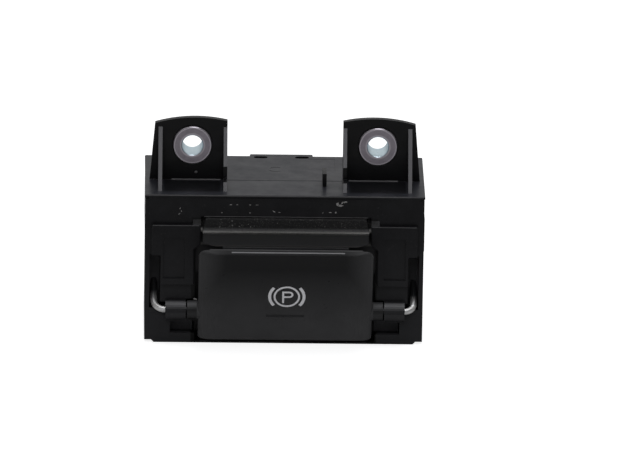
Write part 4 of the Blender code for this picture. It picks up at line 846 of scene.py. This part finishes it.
def add_edge_lines():
    """Thin lines of painted highlight at the ears' feet, over the window and on the side blocks' tops."""
    bm = bmesh.new()
    for side in (-1, 1):
        ends = sorted(side * end for end in EAR_FILLET_ENDS)
        foot = (PLATE_Y + 0.02 * MM, COVER_TOP - 0.02 * MM)
        fillet(bm, ends, foot, EAR_FILLET_DEEP, EAR_FILLET_TALL)
    for corners in (WINDOW_LINE, *STEP_LINES):
        front_block(bm, corners)
    add_mesh("edge_lines", bm, edge_highlight_material(), "housing")


def add_lever_line():
    """A painted highlight along the lever's top edge, as a thin pale strip."""
    bm = bmesh.new()
    lever_block(bm, LEVER_LINE)
    lever_highlight = plain_plastic("lever_edge_highlight", (0.16, 0.16, 0.165), 0.45)
    line = add_mesh("lever_edge_line", bm, lever_highlight, "lever", up_the_face())


def add_lever_ledge():
    """The flat top of the lever's lip, which the finger pulls on, paler than the lever's black as painted
    light.
    """
    bm = bmesh.new()
    lever_block(bm, LEVER_LEDGE)
    round_edges(bm, EDGE_ROUND)
    ledge = plain_plastic("lever_lip_painted_light", (0.02, 0.02, 0.021), 0.5)
    add_mesh("lever_top_ledge", bm, ledge, "lever", up_the_face())


def add_slot_backs():
    """Dark walls behind the case's side slots and lower pockets, set as painted shade deep inside them."""
    bm = bmesh.new()
    for side in (-1, 1):
        front_block(bm, SLOT_WALL, side)
        front_block(bm, POCKET_WALL, side)
    wall = plain_plastic("slot_shade_wall", (0.026, 0.026, 0.029), 0.6)
    add_mesh("slot_backs", bm, wall, "housing")


def add_slot_ledges():
    """The ledges under the wires, at the slots' feet."""
    bm = bmesh.new()
    for side in (-1, 1):
        front_block(bm, SLOT_LEDGE, side)
    add_mesh("slot_ledges", bm, finish_of("case"), "housing")


def add_lip():
    """The trim's lower lip, a thin moulded edge under the panel, paler than the trim as a painted highlight.
    """
    bm = bmesh.new()
    front_block(bm, TRIM_LIP)
    round_edges(bm, TRIM_LIP_ROUND)
    lip = plain_plastic("lip_painted_highlight", (0.03, 0.03, 0.031), 0.5)
    add_mesh("trim_lip", bm, lip, "housing")


def add_seam():
    """The cover's skirt, tucked in behind its front edge so that no gap shows."""
    bm = bmesh.new()
    front_block(bm, COVER_SKIRT)
    add_mesh("cover_skirt", bm, finish_of("case"), "housing")


def add_dust():
    """The larger crumbs of dust on the case and the trim's band, and a pale fleck on the left boss."""
    bm = bmesh.new()
    for crumbs, front in ((BAND_CRUMBS, BAND_FRONT), (CRUMBS, CRUMB_FRONT), (BOSS_FLECKS, BOSS_FRONT)):
        for x, z, long, wide, turn in crumbs:
            fleck(bm, x * MM, z * MM, long * MM, wide * MM, turn, front)
    dust = plain_plastic("dust", (0.26, 0.255, 0.25), 0.9, 0.1 * MM, gloss=0.2)
    add_mesh("dust_crumbs", bm, dust, "housing")


def add_ear_marks():
    """A moulding nub on the left ear and the lower rims of the holes that the bushings sit in, pale with
    painted highlight.
    """
    bm = bmesh.new()
    ball(bm, NUB_PLACE, NUB_SIZE, 16, 10)
    for side in (-1, 1):
        rim(bm, side * BUSH_X, *RIM_ARC)
    add_mesh("ear_marks", bm, edge_highlight_material(), "housing")


def add_bushing_seats():
    """Thin dark rings where the ears grip the bushings, so that no light shows past them."""
    bm = bmesh.new()
    for side in (-1, 1):
        circle = hoop((side * BUSH_X, BUSH_Z), SEAT_RADIUS, 48)
        stroke(bm, circle, SEAT_WIDE, -0.5 * MM, 0.5 * MM, closed=True)
    upright = Matrix(((1, 0, 0, 0), (0, 0, -1, PLATE_Y + SEAT_BACK), (0, 1, 0, 0), (0, 0, 0, 1)))
    add_mesh("bushing_seats", bm, finish_of("top_bracket"), "housing", upright)


def add_gate_mark():
    """The open ring and the small pad that the moulding gate left on the cover."""
    bm = bmesh.new()
    stroke(bm, arc(GATE_MIDDLE, GATE_RADIUS, *GATE_ARC, 26), GATE_STROKE, 0.0, GATE_TALL)
    ball(bm, PAD_PLACE, PAD_SIZE, 20, 8)
    place = Matrix.Translation((0.0, 0.0, COVER_TOP - 0.05 * MM))
    mark = plain_plastic("gate_plastic", (0.02, 0.02, 0.021), 0.4, 0.3 * MM)
    add_mesh("gate_mark", bm, mark, "housing", place)


# Stage


def add_world():
    """White to the camera; as light, a pale wall behind the object and a dim room in front of it."""
    world = bpy.data.worlds.new("studio")
    bpy.context.scene.world = world
    world.use_nodes = True
    nodes, links = world.node_tree.nodes, world.node_tree.links
    background = nodes["Background"]
    background.inputs["Color"].default_value = (1.0, 1.0, 1.0, 1.0)
    path = nodes.new("ShaderNodeLightPath")
    seen = nodes.new("ShaderNodeMath")
    seen.operation = "MAXIMUM"
    links.new(path.outputs["Is Camera Ray"], seen.inputs[0])
    links.new(path.outputs["Is Transmission Ray"], seen.inputs[1])
    places = nodes.new("ShaderNodeTexCoord")
    split = nodes.new("ShaderNodeSeparateXYZ")
    links.new(places.outputs["Generated"], split.inputs["Vector"])
    room = nodes.new("ShaderNodeMapRange")
    links.new(split.outputs["Y"], room.inputs["Value"])
    room.inputs["From Min"].default_value = WALL_START
    room.inputs["From Max"].default_value = WALL_FULL
    room.inputs["To Min"].default_value = ROOM_LIGHT
    room.inputs["To Max"].default_value = WALL_LIGHT
    level = nodes.new("ShaderNodeMapRange")
    links.new(seen.outputs["Value"], level.inputs["Value"])
    links.new(room.outputs["Result"], level.inputs["To Min"])
    level.inputs["To Max"].default_value = 1.0
    links.new(level.outputs["Result"], background.inputs["Strength"])


def add_floor():
    """A white floor that keeps the object's shadow."""
    bm = bmesh.new()
    bmesh.ops.create_grid(bm, x_segments=1, y_segments=1, size=FLOOR_HALF)
    mesh = bpy.data.meshes.new("floor")
    bm.to_mesh(mesh)
    bm.free()
    floor = bpy.data.objects.new("floor", mesh)
    floor.location.z = -FLOOR_DROP
    bpy.context.scene.collection.objects.link(floor)
    mesh.materials.append(floor_material())


def floor_material():
    made = bpy.data.materials.new("floor_white")
    made.use_nodes = True
    tree = made.node_tree
    shader = tree.nodes["Principled BSDF"]
    shader.inputs["Base Color"].default_value = (FLOOR_COLOR, FLOOR_COLOR, FLOOR_COLOR, 1.0)
    shader.inputs["Roughness"].default_value = FLOOR_ROUGH
    shader.inputs["Specular IOR Level"].default_value = FLOOR_GLOSS
    shader.inputs["Emission Color"].default_value = (1.0, 1.0, 1.0, 1.0)
    path = tree.nodes.new("ShaderNodeLightPath")
    glow = tree.nodes.new("ShaderNodeMath")
    glow.operation = "MULTIPLY"
    glow.inputs[1].default_value = FLOOR_GLOW
    tree.links.new(path.outputs["Is Camera Ray"], glow.inputs[0])
    tree.links.new(glow.outputs["Value"], shader.inputs["Emission Strength"])
    return made


def add_lamp(name, place, size):
    light = bpy.data.lights.new(name, "AREA")
    light.shape = "RECTANGLE"
    light.size, light.size_y = size
    light.energy = LAMP_POWER
    light.color = LAMP_COLOR
    lamp = bpy.data.objects.new(name, light)
    lamp.location = place
    lamp.rotation_euler = (Vector(LAMP_AIM) - Vector(place)).to_track_quat("-Z", "Y").to_euler()
    bpy.context.scene.collection.objects.link(lamp)


def add_camera():
    """The photograph's view, so far off that it is nearly parallel."""
    camera = bpy.data.cameras.new("camera")
    camera.sensor_width = SENSOR_MM
    camera.lens = SENSOR_MM * CAMERA_DISTANCE / (IMAGE_WIDTH / PIXELS_PER_MM * MM)
    camera.clip_start = CAMERA_NEAR
    camera.clip_end = CAMERA_FAR
    holder = bpy.data.objects.new("camera", camera)
    bpy.context.scene.collection.objects.link(holder)
    level = cos(CAMERA_ELEVATION)
    back = Vector((sin(CAMERA_AZIMUTH) * level, -cos(CAMERA_AZIMUTH) * level, sin(CAMERA_ELEVATION)))
    right = Vector((cos(CAMERA_AZIMUTH), sin(CAMERA_AZIMUTH), 0.0))
    up = back.cross(right)
    turn = Matrix.Rotation(CAMERA_ROLL, 3, back)
    right, up = turn @ right, turn @ up
    off_right = (IMAGE_WIDTH / 2 - FOOT_PIXEL[0]) / PIXELS_PER_MM * MM
    off_up = (FOOT_PIXEL[1] - IMAGE_HEIGHT / 2) / PIXELS_PER_MM * MM
    aim = Vector((0.0, FRONT_Y, 0.0)) + right * off_right + up * off_up
    axes = Matrix((right, up, back)).transposed().to_4x4()
    holder.matrix_world = Matrix.Translation(aim + back * CAMERA_DISTANCE) @ axes
    bpy.context.scene.camera = holder


dress_nodes()
add_sign()
add_edge_lines()
add_lever_line()
add_lever_ledge()
add_slot_backs()
add_slot_ledges()
add_lip()
add_seam()
add_dust()
add_ear_marks()
add_bushing_seats()
add_gate_mark()
add_world()
add_floor()
add_lamp("front_softbox", *FRONT_LAMP)
add_lamp("top_softbox", *TOP_LAMP)
add_camera()
bpy.context.scene.view_settings.view_transform = "Standard"

bpy.context.view_layer.update()
